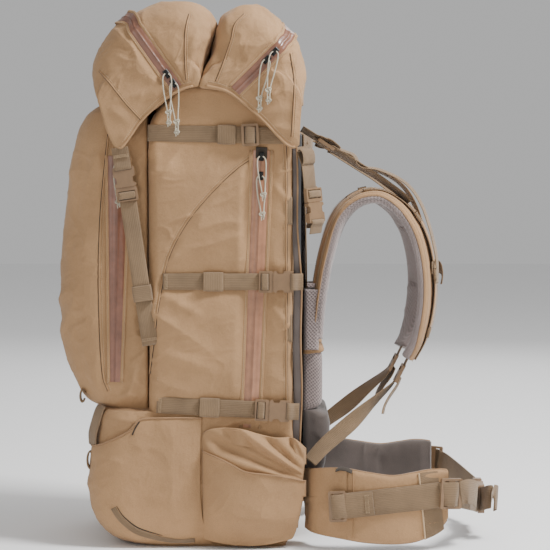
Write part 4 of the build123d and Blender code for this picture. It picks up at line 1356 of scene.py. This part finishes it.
BACK_EDGE = smooth([(155, 30), (157, 120), (158.5, 240), (158.5, 350), (157, 440), (154.5, 560), (154, 632)], 120)
EDGE_WIDTH = np.interp(np.linspace(0, 1, 120), [0, 0.2, 0.6, 0.75, 1], [0.6, 1, 1, 0.6, 0.5])
GROUND_SEAM = smooth([(-118, 62), (-110, 49), (-98, 37), (-84, 27), (-66, 20), (-44, 14), (-20, 11), (4, 12)], 80)
stash_skin = Skin(stash)
for side_name, side in SIDES.items():
    turn = np.linspace(0, 1, 120)
    x = 146.5 + 1.2 * np.sin(turn * 31) + 0.7 * np.sin(turn * 77)
    line = np.column_stack([side * x, BACK_EDGE[:, 0] + 1.0 * np.sin(turn * 23), BACK_EDGE[:, 1]])
    ribbon(f"back_edge_{side_name}", line, (side, 0, 0), 12.0, 3.0, "lining", taper=EDGE_WIDTH)
    rim = line + np.column_stack([np.full(120, side * 1.2), 6.0 * EDGE_WIDTH, np.zeros(120)])
    tube(f"back_edge_piping_{side_name}", rim, 1.4, "binding")
    laid, normals = side_line(stash_skin, side, GROUND_SEAM, 0.5)
    ribbon(f"ground_strip_{side_name}", laid, normals, 9.0, 1.2, "webbing")
    # A thin near-black ribbon beside the ground strip: painted shade of the gap there.
    laid, normals = side_line(stash_skin, side, offset_line(GROUND_SEAM, 6.0)[:52], 0.3)
    ribbon(
        f"ground_gap_shade_{side_name}", laid, normals, 1.8, 0.7, "dark", taper=np.sin(np.linspace(0.1, 3.04, 52)) ** 0.6
    )
    # A near-black ribbon down the stash pocket's dart: painted shade in its fold.
    dart = smooth([(-78, 192), (-84, 183), (-89, 172)], 24)
    laid, normals = side_line(stash_skin, side, dart, 0.3)
    ribbon(f"stash_dart_shade_{side_name}", laid, normals, 2.2, 0.8, "dark")
    for tag, (x, y, z), radius in (("high", (112, -163, 226), 6.0), ("low", (112, -150, 128), 8.5)):
        turn = np.linspace(-0.35 * math.pi, 1.35 * math.pi, 40)
        forward, rise = y - 1.5 - radius * 0.55 * (1 + np.sin(turn)), z + radius * 1.5 * np.cos(turn)
        loop = np.column_stack([np.full(40, side * x), forward, rise])
        ribbon(f"front_loop_{tag}_{side_name}", loop, loop - np.array([side * x, y - 6, z]), 12, 2.6)
    for k, z in enumerate((508, 332)):
        place = Place((150.5, 146, z), (0, 0, 1), OUT, side)
        loop = place.along([(-20, -1.0), (-17, 0.9), (0, 1.8), (17, 0.9), (20, -1.0)], 24)
        ribbon(f"edge_loop_{k}_{side_name}", loop, place.out, 10, 1.4)
    tuck = sided([(120, -138, 212), (122, -142, 204), (123, -147, 188), (122, -152, 168), (118, -152, 150)], 40, side)
    ribbon(f"base_tail_{side_name}", tuck, (side * 0.55, -0.85, 0), WEB, WEB_THICK)

for name in ("lid_front_upper", "lid_front_lower", "lid_rear_upper", "lid_rear_lower"):
    pull_cord(name, f"{name}_pull", f"{name}_slider", 1.0)


# ================================================================ shoulder straps
STRAP_LINE = [
    (188, 313), (194, 372), (206, 438), (226, 494), (256, 524), (288, 528),
    (320, 508), (344, 470), (356, 420), (357, 365), (347, 315), (331, 284),
]
STRAP_THICK = 15.0
STRAP_PATH = smooth(STRAP_LINE, 170)
LIFTER_TAIL = [
    (79, 218, 603), (79, 233, 597), (79, 246, 591), (80, 257, 575), (81, 283, 570), (83, 313, 557),
    (84, 334, 540), (85, 350, 514), (86, 362, 480), (86, 370, 448), (86, 373, 425), (86, 373, 396),
]


def strap_frames():
    """Middle points of a shoulder strap in (y, z), and the unit normals that point away from the wearer."""
    step = np.gradient(STRAP_PATH, axis=0)
    step /= np.linalg.norm(step, axis=1, keepdims=True)
    return STRAP_PATH, np.column_stack([-step[:, 1], step[:, 0]])


def strap_surface(u, depth, side):
    """Points of a strap at a share across it (u from -1 inside to 1 outside) and a depth off its middle."""
    points, normals = strap_frames()
    share = np.linspace(0, 1, len(points))
    roll = 0.31 * smoothstep(0.22, 0.55, share) * (1 - 0.25 * smoothstep(0.9, 1.0, share))
    half = 35.0 - 5.0 * smoothstep(0.88, 1.0, share) - 4.0 * (1 - smoothstep(0.0, 0.12, share))
    x = 83.0 + u * half
    shift = -roll * (x - 83.0)
    y = points[:, 0] + normals[:, 0] * depth + shift * np.abs(normals[:, 0])
    z = points[:, 1] + normals[:, 1] * depth + shift * 0.35 * np.abs(normals[:, 1])
    return np.column_stack([side * x, y, z])


def shoulder_strap(name, side):
    """A padded strap: mesh-covered foam, with a fabric outer face whose edges are bound."""
    count = 44
    turn = np.linspace(0, 2 * math.pi, count, endpoint=False)
    u = np.sign(np.cos(turn)) * np.abs(np.cos(turn)) ** 0.42
    v = np.sign(np.sin(turn)) * np.abs(np.sin(turn)) ** 0.62
    rows = []
    for a, b in zip(u, v):
        crown = 1.5 * (1 - a**2) if b > 0 else -2.4 * (1 - a**2)
        rows.append(strap_surface(a, b * STRAP_THICK / 2 + crown, side))
    grid = np.stack(rows, axis=1)
    share = np.linspace(0, 1, len(grid))
    outward = outward_normals(grid, grid.mean(axis=1, keepdims=True), closed=True)
    relief = 0.9 * folds(grid, 26, (1, 0.2, 0.1), 2.5, 201)
    for at in (0.62, 0.80):
        spot = np.exp(-(((share - at) / 0.008) ** 2))[:, None] * np.exp(-((u / 0.18) ** 2))[None, :] * (v < 0)
        relief = relief - 5.0 * spot
    grid = grid + outward * relief[..., None]
    pad = grid_object(f"strap_pad_{name}", grid, "mesh", closed=True, caps=(True, True), flip=side < 0)
    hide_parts(f"shoulder_strap_{name}")

    across = np.linspace(-0.97, 0.97, 23)
    shell = []
    for a in across:
        drop = 3.4 * np.abs(a) ** 8
        shell.append(strap_surface(a, STRAP_THICK / 2 + 1.5 * (1 - a**2) + 1.0 - drop, side))
    shell = np.stack(shell, axis=1)
    shell = shell + 0.5 * folds(shell, 30, (1, 0.3, 0.2), 2.4, 205)[..., None] * np.array([0, 0.6, 0.6])
    under = shell.copy()
    for k in (0, -1):
        under[:, k] = strap_surface(across[k] * 0.995, STRAP_THICK / 2 - 3.6, side)
    grid = np.concatenate([under[:, :1], shell, under[:, -1:]], axis=1)
    grid_object(f"strap_face_{name}", grid, "fabric", flip=side < 0)
    for edge in (-1, 1):
        line = strap_surface(edge * 0.985, STRAP_THICK / 2 - 3.4, side)
        tube(f"strap_piping_{name}_{'in' if edge < 0 else 'out'}", line[::2], 1.25, "binding")
        line = strap_surface(edge * 0.84, STRAP_THICK / 2 + 1.9, side)
        hint = line - strap_surface(edge * 0.84, 0.0, side)
        merged(f"strap_stitches_{name}_{'in' if edge < 0 else 'out'}", stitch_parts(line, hint), "thread")


def strap_webbing(name, side):
    """The daisy-chained webbing down a strap's face, with keepers and the loose end of the load lifter."""
    share = np.linspace(0, 1, len(STRAP_PATH))
    keep = share > 0.40
    stand = 10.2 + 2.2 * np.sin(np.pi * np.clip((share - 0.52) / 0.40, 0, 1))
    line = strap_surface(0.1, 0, side)
    off = strap_surface(0.1, 1.0, side) - line
    laid = (line + off * stand[:, None])[keep]
    ribbon(f"strap_webbing_{name}", laid, off[keep], WEB, WEB_THICK)
    for k, at in enumerate((0.455, 0.60, 0.76, 0.92)):
        i = int(at * (len(line) - 1))
        vectors = line[i], line[i + 1] - line[i - 1], off[i]
        place = Place(*(vector * [side, 1, 1] for vector in vectors), side)
        keeper(f"strap_keeper_{name}_{k}", place, 0, 16 if k else 13, WEB, stand[i] - 1.6, stand[i] + 3.4)
    tail = sided(LIFTER_TAIL, 110, side)
    hint = np.cross(np.gradient(tail, axis=0), [side * -1.0, 0.12, 0]) * side
    hint = np.where((hint[:, 1:2] * 0.5 + hint[:, 2:3]) < 0, -hint, hint) + [0.30 * side, 0, 0]
    ribbon(f"lifter_tail_{name}", tail, hint, WEB - 1, 1.4)


def load_lifter(name, side):
    """The load lifter from the bag's top through its ladder lock down to the strap."""
    hint = np.array([-0.34 * side, 0.52, 0.78])
    line = sided([(79, 166, 632), (79, 175, 626.5), (79, 188, 618.5), (79, 196, 616), (79, 203, 612.5)], 24, side)
    ribbon(f"lifter_top_{name}", line, hint, WEB, WEB_THICK)
    line = sided([
        (79, 210, 602), (79, 218, 598.5), (79, 250, 578), (79, 288, 554), (79, 318, 532), (79, 330, 519)
    ], 60, side)
    lower = ribbon(f"lifter_{name}", wavy(line, 0.4, 4.0), hint, WEB, WEB_THICK)
    loop = sided([
        (79, 190, 612), (79, 197, 609.5), (79, 203, 613), (79, 210, 611), (79, 219, 603.5), (79, 222, 600)
    ], 30, side)
    ribbon(f"lifter_loop_{name}", loop, hint, WEB - 0.8, WEB_THICK)
    place = Place((79, 318, 534), (0, 0.8, -0.6), (0, 0.6, 0.8), side)
    tack(f"lifter_tack_{name}", place, 2, 1.2, WEB)
    return lower


def lower_strap(name, side):
    """The webbing from a strap's lower ladder lock down to the belt's root, turning as it goes."""
    line = smooth([
        (132, 178, 128), (124, 201, 152), (110, 240, 184), (98, 274, 214), (88, 302, 238), (84, 312, 250)
    ], 80)
    share = np.linspace(0, 1, 80)[:, None]
    hint = np.array([0.75, -0.35, 0.55]) * (1 - share) + np.array([0.1, 0.85, -0.42]) * share
    ribbon(f"lower_strap_{name}", line * [side, 1, 1], hint * [side, 1, 1], WEB, WEB_THICK)
    line = smooth([
        (84, 309, 247), (84, 313, 254), (84, 318, 257), (84, 321, 264), (84, 326, 276), (84, 334, 292)
    ], 40)
    ribbon(f"lower_lock_web_{name}", line * [side, 1, 1], (0, 0.89, -0.46), WEB, WEB_THICK)
    tail = smooth([(84, 318, 251), (86, 312, 238), (90, 300, 221), (93, 293, 208), (94, 290, 196)], 40)
    ribbon(f"lower_tail_{name}", tail * [side, 1, 1], (side * 0.2, 0.85, -0.4), WEB - 1, WEB_THICK)


# ================================================================ pads, yoke and haul handle
def soft_block(name, sections, material, relief, seed, node=None):
    """A stuffed block made of closed sections, with soft wrinkles."""
    grid = np.array(sections, float)
    outward = outward_normals(grid, grid.mean(axis=(0, 1)), closed=True)
    grid = grid + outward * (relief * folds(grid, 30, (1, 0.2, 0.3), 2.6, seed))[..., None]
    made = grid_object(name, grid, material, closed=True, caps=(True, True))
    if node:
        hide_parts(node)


def plan_section(half, front, back, z, radius, dip=0.0):
    """A level section of a pad, dipped down the wearer's spine."""
    ring = rounded_ring(half, front, back, 3, radius, 90)
    if dip:
        ring[:, 1] -= dip * np.exp(-((ring[:, 0] / 15.0) ** 2)) * (ring[:, 1] > (front + back) / 2)
    return np.column_stack([ring, np.full(len(ring), z)])


def pads():
    """The lumbar pad, the back pad above it with its band, and the mesh sheet and its two webbing strips above them."""
    rows = []
    for share in np.linspace(0, 1, 40):
        z = 203 + 97 * share
        pinch = 1 - 0.55 * abs(2 * share - 1) ** 10
        rows.append(plan_section(103 * (0.96 + 0.04 * pinch), 168.5, 168.5 + 29 * pinch, z, 12, dip=13))
    soft_block("back_pad_foam", rows, "mesh", seed=211, node="back_pad", relief=0.7)
    rows = []
    for share in np.linspace(0, 1, 12):
        pinch = 1 - 0.5 * abs(2 * share - 1) ** 4
        rows.append(plan_section(104.5, 168, 168 + 31.5 * pinch, 289 + 14 * share, 12, dip=13))
    soft_block("back_pad_band", rows, "fabric", seed=213, relief=0.5)
    rows = []
    depth = curve_value([(0, 30), (0.15, 34), (0.5, 39), (0.8, 40), (0.93, 36), (1, 22)])
    for share in np.linspace(0, 1, 44):
        z = 107 + 96 * share
        rows.append(plan_section(104 - 3 * abs(2 * share - 1) ** 6, 168.2, 168 + depth(share), z, 16, dip=6))
    soft_block("lumbar_foam", rows, "lining", seed=215, node="lumbar_pad", relief=1.3)
    rows = []
    for share in np.linspace(0, 1, 18):
        z = 300 + 268 * share
        rows.append(plan_section(64, 166.8, 172.5 + 1.2 * math.sin(share * 9), z, 4))
    soft_block("yoke_sheet", rows, "mesh", seed=217, relief=0.5)
    for x in (-74, 74):
        line = smooth([(x, 168, 300), (x, 173, 360), (x, 172, 480), (x, 168, 566)], 50)
        ribbon(f"yoke_webbing_{'right' if x > 0 else 'left'}", line, (0, 1, 0), WEB, 2.2)


def yoke(side_name, side):
    """The padded root that joins a shoulder strap's back end to the frame."""
    rows = []
    for share in np.linspace(0, 1, 40):
        z = 296 + 92 * share
        y = np.interp(z, STRAP_PATH[:60, 1], STRAP_PATH[:60, 0])
        thick = 5.5 + 3.0 * math.sin(math.pi * share)
        ring = rounded_ring(33, 169.5, y + thick * 0.5, 4, 5, 60)
        rows.append(np.column_stack([ring[:, 0] + 83, ring[:, 1], np.full(60, z)]) * [side, 1, 1])
    soft_block(f"yoke_pad_{side_name}", rows, "mesh", seed=221, relief=0.8)


def handle():
    """The haul handle: folded webbing bowed off the frame."""
    line = smooth([
        (-50, 168.5, 612), (-42, 172, 612), (-28, 180, 612), (0, 182.5, 612), (28, 180, 612), (42, 172, 612),
        (50, 168.5, 612)
    ], 60)
    made = ribbon("handle_web", line, (0, 1, 0), 25, 2.8)
    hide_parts("haul_handle")
    for x in (-41, 41):
        place = Place((x, 173, 612), (0, 0, 1), (0, 1, 0))
        tack(f"handle_tack_{'right' if x > 0 else 'left'}", place, 0, 2.8, 14)


# ================================================================ hip belt
WING_LINE = [(112, 180), (146, 196), (164, 240), (168, 300), (163, 345), (154, 384)]
WING_PATH = smooth(WING_LINE, 130)
WING_TOP = curve_value([
    (176, 114), (200, 121), (230, 123), (262, 118), (300, 113), (330, 117), (355, 121), (380, 120), (388, 114),
    (394, 96)
])
WING_BOTTOM = curve_value([
    (176, 26), (190, 22), (225, 17), (260, 12), (300, 10), (335, 13), (362, 24), (380, 40), (389, 56), (394, 80)
])


def wing_surface(v, depth, side):
    """Points of a belt wing at a share up it (v from -1 to 1) and a depth off its middle line, along it."""
    step = np.gradient(WING_PATH, axis=0)
    step /= np.linalg.norm(step, axis=1, keepdims=True)
    outward = np.column_stack([step[:, 1], -step[:, 0]])
    y = WING_PATH[:, 1]
    low, high = WING_BOTTOM(y), WING_TOP(y)
    place = WING_PATH + outward * depth
    z = (low + high) / 2 + v * (high - low) / 2
    return np.column_stack([side * place[:, 0], place[:, 1], z])


def belt_wing(name, side):
    """A padded wing: brushed lining within, fabric outside, bound along its edge."""
    count = 48
    turn = np.linspace(0, 2 * math.pi, count, endpoint=False)
    v = np.sign(np.sin(turn)) * np.abs(np.sin(turn)) ** 0.35
    w = np.sign(np.cos(turn)) * np.abs(np.cos(turn)) ** 0.7
    share = np.linspace(0, 1, len(WING_PATH))
    taper = 1 - 0.5 * smoothstep(0.92, 1.0, share)
    rows = []
    for a, b in zip(v, w):
        middle = wing_surface(a, 0, side)
        thick = 8.2 + (1.6 if b < 0 else 0) * (1 - a**2)
        rows.append(middle + (wing_surface(a, 1, side) - middle) * (b * taper * thick)[:, None])
    grid = np.stack(rows, axis=1)
    y, z = grid[..., 1] - 300, grid[..., 2] - 84
    dent = np.exp(-((y / 10) ** 2)) * np.exp(-((z / 3.0) ** 2))
    dent = dent + 0.35 * np.exp(-((y / 26) ** 2)) * np.exp(-((z / 14) ** 2))
    inner = w < -0.3
    push = wing_surface(0, 1, side) - wing_surface(0, 0, side)
    grid = grid + push[:, None, :] * (dent * inner * 6.0)[..., None]
    crease = 1.2 * folds(grid, 30, (0.2, 0.5, 0.8), 2.6, 231) * (0.3 + 0.7 * (w < 0))[None, :]
    grid = grid - push[:, None, :] * (crease * np.sign(-w))[..., None]
    pad = grid_object(f"wing_pad_{name}", grid, "lining", closed=True, caps=(True, True), flip=side > 0)
    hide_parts(f"belt_wing_{name}")

    rows = []
    for a in np.linspace(-0.99, 0.99, 40):
        bulge = 10.4 - 6.0 * np.abs(a) ** 24
        rows.append(wing_surface(a, 0, side) + push * (bulge * taper)[:, None])
    shell = np.stack(rows, axis=1)
    ripple = np.clip(1.3 * folds(shell, 36, (0.1, 0.9, 0.3), 2.8, 241), -1.2, 2.6)
    root = 1 - smoothstep(212, 236, shell[..., 1])
    shell = shell + push[:, None, :] * (ripple + root * 1.2 * np.sin(shell[..., 2] / 9.0))[..., None]
    grid_object(f"wing_face_{name}", shell, "fabric", flip=side < 0)
    for tag, a in (("top", 0.985), ("bottom", -0.985)):
        line = wing_surface(a, 0, side) + push * (4.6 * taper)[:, None]
        tube(f"wing_binding_{tag}_{name}", line[::2], 1.7, "binding")
    seam_at = int(np.argmin(np.abs(WING_PATH[:, 1] - 243)))
    column = np.array([wing_surface(a, 10.6, side)[seam_at] for a in np.linspace(-0.93, 0.96, 40)])
    tube(f"wing_seam_{name}", column, 1.1, "fabric", sides=6)
    end = seam_at - 4
    sleeve = [wing_surface(a, 11.2 + 1.4 * math.sin(3 * a), side)[:end] for a in np.linspace(-0.99, 1.01, 30)]
    sleeve = np.stack(sleeve, axis=1)
    sleeve = sleeve + push[:end, None, :] * (1.5 * folds(sleeve, 28, (0, 0.3, 0.9), 2.6, 251))[..., None]
    grid_object(f"wing_sleeve_{name}", sleeve, "fabric", flip=side < 0)
    # A near-black ribbon at the wing's opening: painted shade inside the hole.
    hole = sided([(171, 216, 121), (174, 223, 123.5), (176, 232, 122.5), (176, 240, 119)], 24, side)
    ribbon(f"wing_hole_shade_{name}", hole, (side * 0.5, 0, 1), 9, 1.4, "dark")


def belt_straps(name, side):
    """The belt's outer webbing, its ring, folded end, stitched binding and ladder lock."""
    line = sided([
        (180.2, 226, 68.5), (180.9, 236, 69.5), (180.6, 290, 75.5), (178.5, 340, 81), (175.6, 368, 84),
        (173.6, 380, 85.4), (173.2, 386, 86)
    ], 60, side)
    made = ribbon(f"belt_webbing_{name}", line, (side, 0.05, 0), BELT_WEB, 1.8)
    fold = sided([(182.4, 228, 69), (183.2, 242, 70), (183.2, 262, 72), (183.0, 272, 73.2)], 30, side)
    ribbon(f"belt_fold_{name}", fold, (side, 0.05, 0), BELT_WEB - 1, 1.8)
    wrap = sided([
        (182.2, 232, 69.4), (184.6, 224, 68.6), (185.4, 218, 68), (184.2, 212, 67.4), (180.6, 208.4, 67),
        (177.4, 212, 67.4)
    ], 30, side)
    ribbon(f"belt_ring_web_{name}", wrap, (side, -0.07, 0), BELT_WEB - 2, 1.8)
    place = Place((183.6, 262, 72), (0, 1, 0.08), OUT, side)
    tack(f"belt_tack_{name}", place, 0, 1.0, BELT_WEB - 8, rows=4)
    at = int(np.argmin(np.abs(WING_PATH[:, 1] - 351)))
    rows = np.array([wing_surface(a, 10.4, side)[at - 5 : at + 12] for a in np.linspace(-0.96, 0.95, 44)])
    rows[:, :, 1] += np.linspace(6, -4, 44)[:, None]
    rows[:, :, 0] += side * 1.2 * np.exp(-(((rows[:, :, 2] - 84) / 22) ** 2)) * 2.2
    grid_object(f"belt_strip_{name}", rows, "webbing", flip=side > 0)
    edge = rows[:, 0] + [side * 0.6, 0, 0]
    tube(f"belt_strip_edge_{name}", edge, 1.5, "thread", sides=6)
    over = sided([
        (177.5, 372, 85), (178.8, 380, 86), (178.6, 388, 86), (176.4, 395, 85.4), (171.6, 399, 84.6), (167.6, 402, 84)
    ], 36, side)
    ribbon(f"belt_lock_web_{name}", over, (side * 0.95, 0.3, 0), BELT_WEB - 2, 1.8)
    return made


def belt_ends():
    """What runs from each wing to the belt's buckle, and the folded tails beside it."""
    right = smooth([
        (170, 397, 84), (158, 408, 80), (118, 421, 71), (82, 432, 63), (56, 439, 57), (40, 440.4, 56), (18, 440.2, 56)
    ], 90)
    ribbon("belt_end_right", right, turning(0.6, 0.0, 90), BELT_WEB, 1.8)
    left = smooth([
        (-170, 397, 84), (-158, 408, 80), (-118, 424, 71), (-82, 437, 63), (-56, 445, 58), (-36.5, 447, 57)
    ], 90)
    ribbon("belt_end_left", left, turning(-0.6, 0.0, 90), BELT_WEB, 1.8)
    tail = smooth([
        (22, 443, 56), (40, 445, 56), (66, 447, 60), (86, 452, 66), (93, 462, 68), (80, 468, 64), (60, 466, 58)
    ], 70)
    ribbon("belt_tail_right", tail, turning(0, 0.4, 70), BELT_WEB - 1, 1.6, body="belt_plug")
    tail = smooth([(172, 402, 86), (166, 414, 88), (152, 425, 84), (138, 430, 78), (120, 431, 74)], 50)
    ribbon("belt_tail_lock", tail, turning(1, 0.3, 50), BELT_WEB - 1, 1.6)


def sternum():
    """The sternum strap's webbing from each side, and its loose tail."""
    right = smooth([(100, 364, 420), (88, 368.4, 420), (60, 368.0, 419.2), (30, 367.0, 419.6), (12, 366.8, 420)], 50)
    made = ribbon("sternum_right", right, (0, 1, 0), 20, 1.5)
    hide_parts("sternum_webbing")
    left = smooth([
        (-100, 364, 420), (-88, 368.6, 420), (-60, 369.6, 419.2), (-30, 370.6, 419.6), (-17.5, 371, 420)
    ], 50)
    ribbon("sternum_left", left, (0, 1, 0), 20, 1.5)
    tail = smooth([
        (14, 371.5, 420), (20, 375.5, 420), (28, 380, 419), (37, 384, 414), (42, 385, 404), (43, 383, 392)
    ], 40)
    ribbon("sternum_tail", tail, (0, 1, 0), 20, 1.3, body="sternum_plug")


# ================================================================ build the harness
for side_name, side in SIDES.items():
    shoulder_strap(side_name, side)
    strap_webbing(side_name, side)
    lifter = load_lifter(side_name, side)
    lower_strap(side_name, side)
    yoke(side_name, side)
    belt_wing(side_name, side)
    webbing_made = belt_straps(side_name, side)
    if side > 0:
        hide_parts("harness_webbing")
        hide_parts("belt_webbing")
pads()
handle()
belt_ends()
sternum()


# ================================================================ hard parts kept from the CAD
def finish_hard(names, material, edge):
    """Gives CAD parts a material and soft-broken edges."""
    for name in names:
        part = bpy.data.objects[name]
        part.data.materials.clear()
        part.data.materials.append(MATERIALS[material])
        bevel = part.modifiers.new("edges", "BEVEL")
        bevel.width, bevel.segments, bevel.limit_method = edge * MM, 2, "ANGLE"
        bevel.angle_limit = math.radians(35)
        for polygon in part.data.polygons:
            polygon.use_smooth = True


PLUGS = [f"{name}_plug_{side}" for name in STRAP_PLACES for side in SIDES]
finish_hard([
    *PLUGS, "belt_plug", "belt_socket", "sternum_plug", "sternum_socket", "strap_sockets", "lid_sockets",
    "ladder_locks"
], "buckle", 0.7)
SLIDERS = [f"{name}_slider_{side}" for name in ("side_zip_upper", "side_zip_lower", "front_zip") for side in SIDES]
SLIDERS += [f"{name}_slider" for name in ("lid_front_upper", "lid_front_lower", "lid_rear_upper", "lid_rear_lower")]
finish_hard(SLIDERS, "metal", 0.5)
finish_hard(["frame_sheet"], "frame", 0.8)
finish_hard(["frame_stays"], "stay", 0.6)


# ================================================================ stage
def stage_and_camera():
    """A plain pale floor under a pale surround, soft studio lights and the camera."""
    floor = bpy.data.meshes.new("floor")
    size = 9.0
    floor.from_pydata([(-size, -size, 0), (size, -size, 0), (size, size, 0), (-size, size, 0)], [], [(0, 1, 2, 3)])
    paper = bpy.data.materials.new("paper")
    paper.use_nodes = True
    paper.node_tree.nodes["Principled BSDF"].inputs["Base Color"].default_value = (0.9, 0.9, 0.9, 1)
    paper.node_tree.nodes["Principled BSDF"].inputs["Roughness"].default_value = 0.9
    floor.materials.append(paper)
    ground = bpy.data.objects.new("floor", floor)
    bpy.context.scene.collection.objects.link(ground)
    for name, place, target, size, power in (
        ("key", (0.75, 1.9, 2.7), (0.1, 0, 0.40), 0.7, 132),
        ("fill", (2.6, -1.6, 1.2), (0, 0, 0.4), 1.8, 16),
        ("top", (0.4, 1.3, 2.6), (0, 0.1, 0.6), 1.2, 24),
        ("back", (-2.6, 0.6, 1.8), (0, 0.1, 0.4), 2.0, 22),
    ):
        light = bpy.data.lights.new(name, "AREA")
        light.size, light.energy = size, power
        lamp = bpy.data.objects.new(name, light)
        lamp.location = place
        lamp.rotation_euler = (Vector(target) - Vector(place)).to_track_quat("-Z", "Y").to_euler()
        bpy.context.scene.collection.objects.link(lamp)
    world = bpy.data.worlds.new("studio")
    world.use_nodes = True
    world.node_tree.nodes["Background"].inputs["Color"].default_value = (1, 1, 1, 1)
    world.node_tree.nodes["Background"].inputs["Strength"].default_value = 0.50
    bpy.context.scene.world = world

    away, rise, aim = 3.06, math.radians(3.0), Vector((0, 0.125, 0.404))
    data = bpy.data.cameras.new("camera")
    data.sensor_width = 36.0
    data.lens = data.sensor_width * away / 0.866
    camera = bpy.data.objects.new("camera", data)
    camera.location = aim + Vector((away * math.cos(rise), 0, away * math.sin(rise)))
    camera.rotation_euler = (aim - camera.location).to_track_quat("-Z", "Y").to_euler()
    bpy.context.scene.collection.objects.link(camera)
    bpy.context.scene.camera = camera


stage_and_camera()
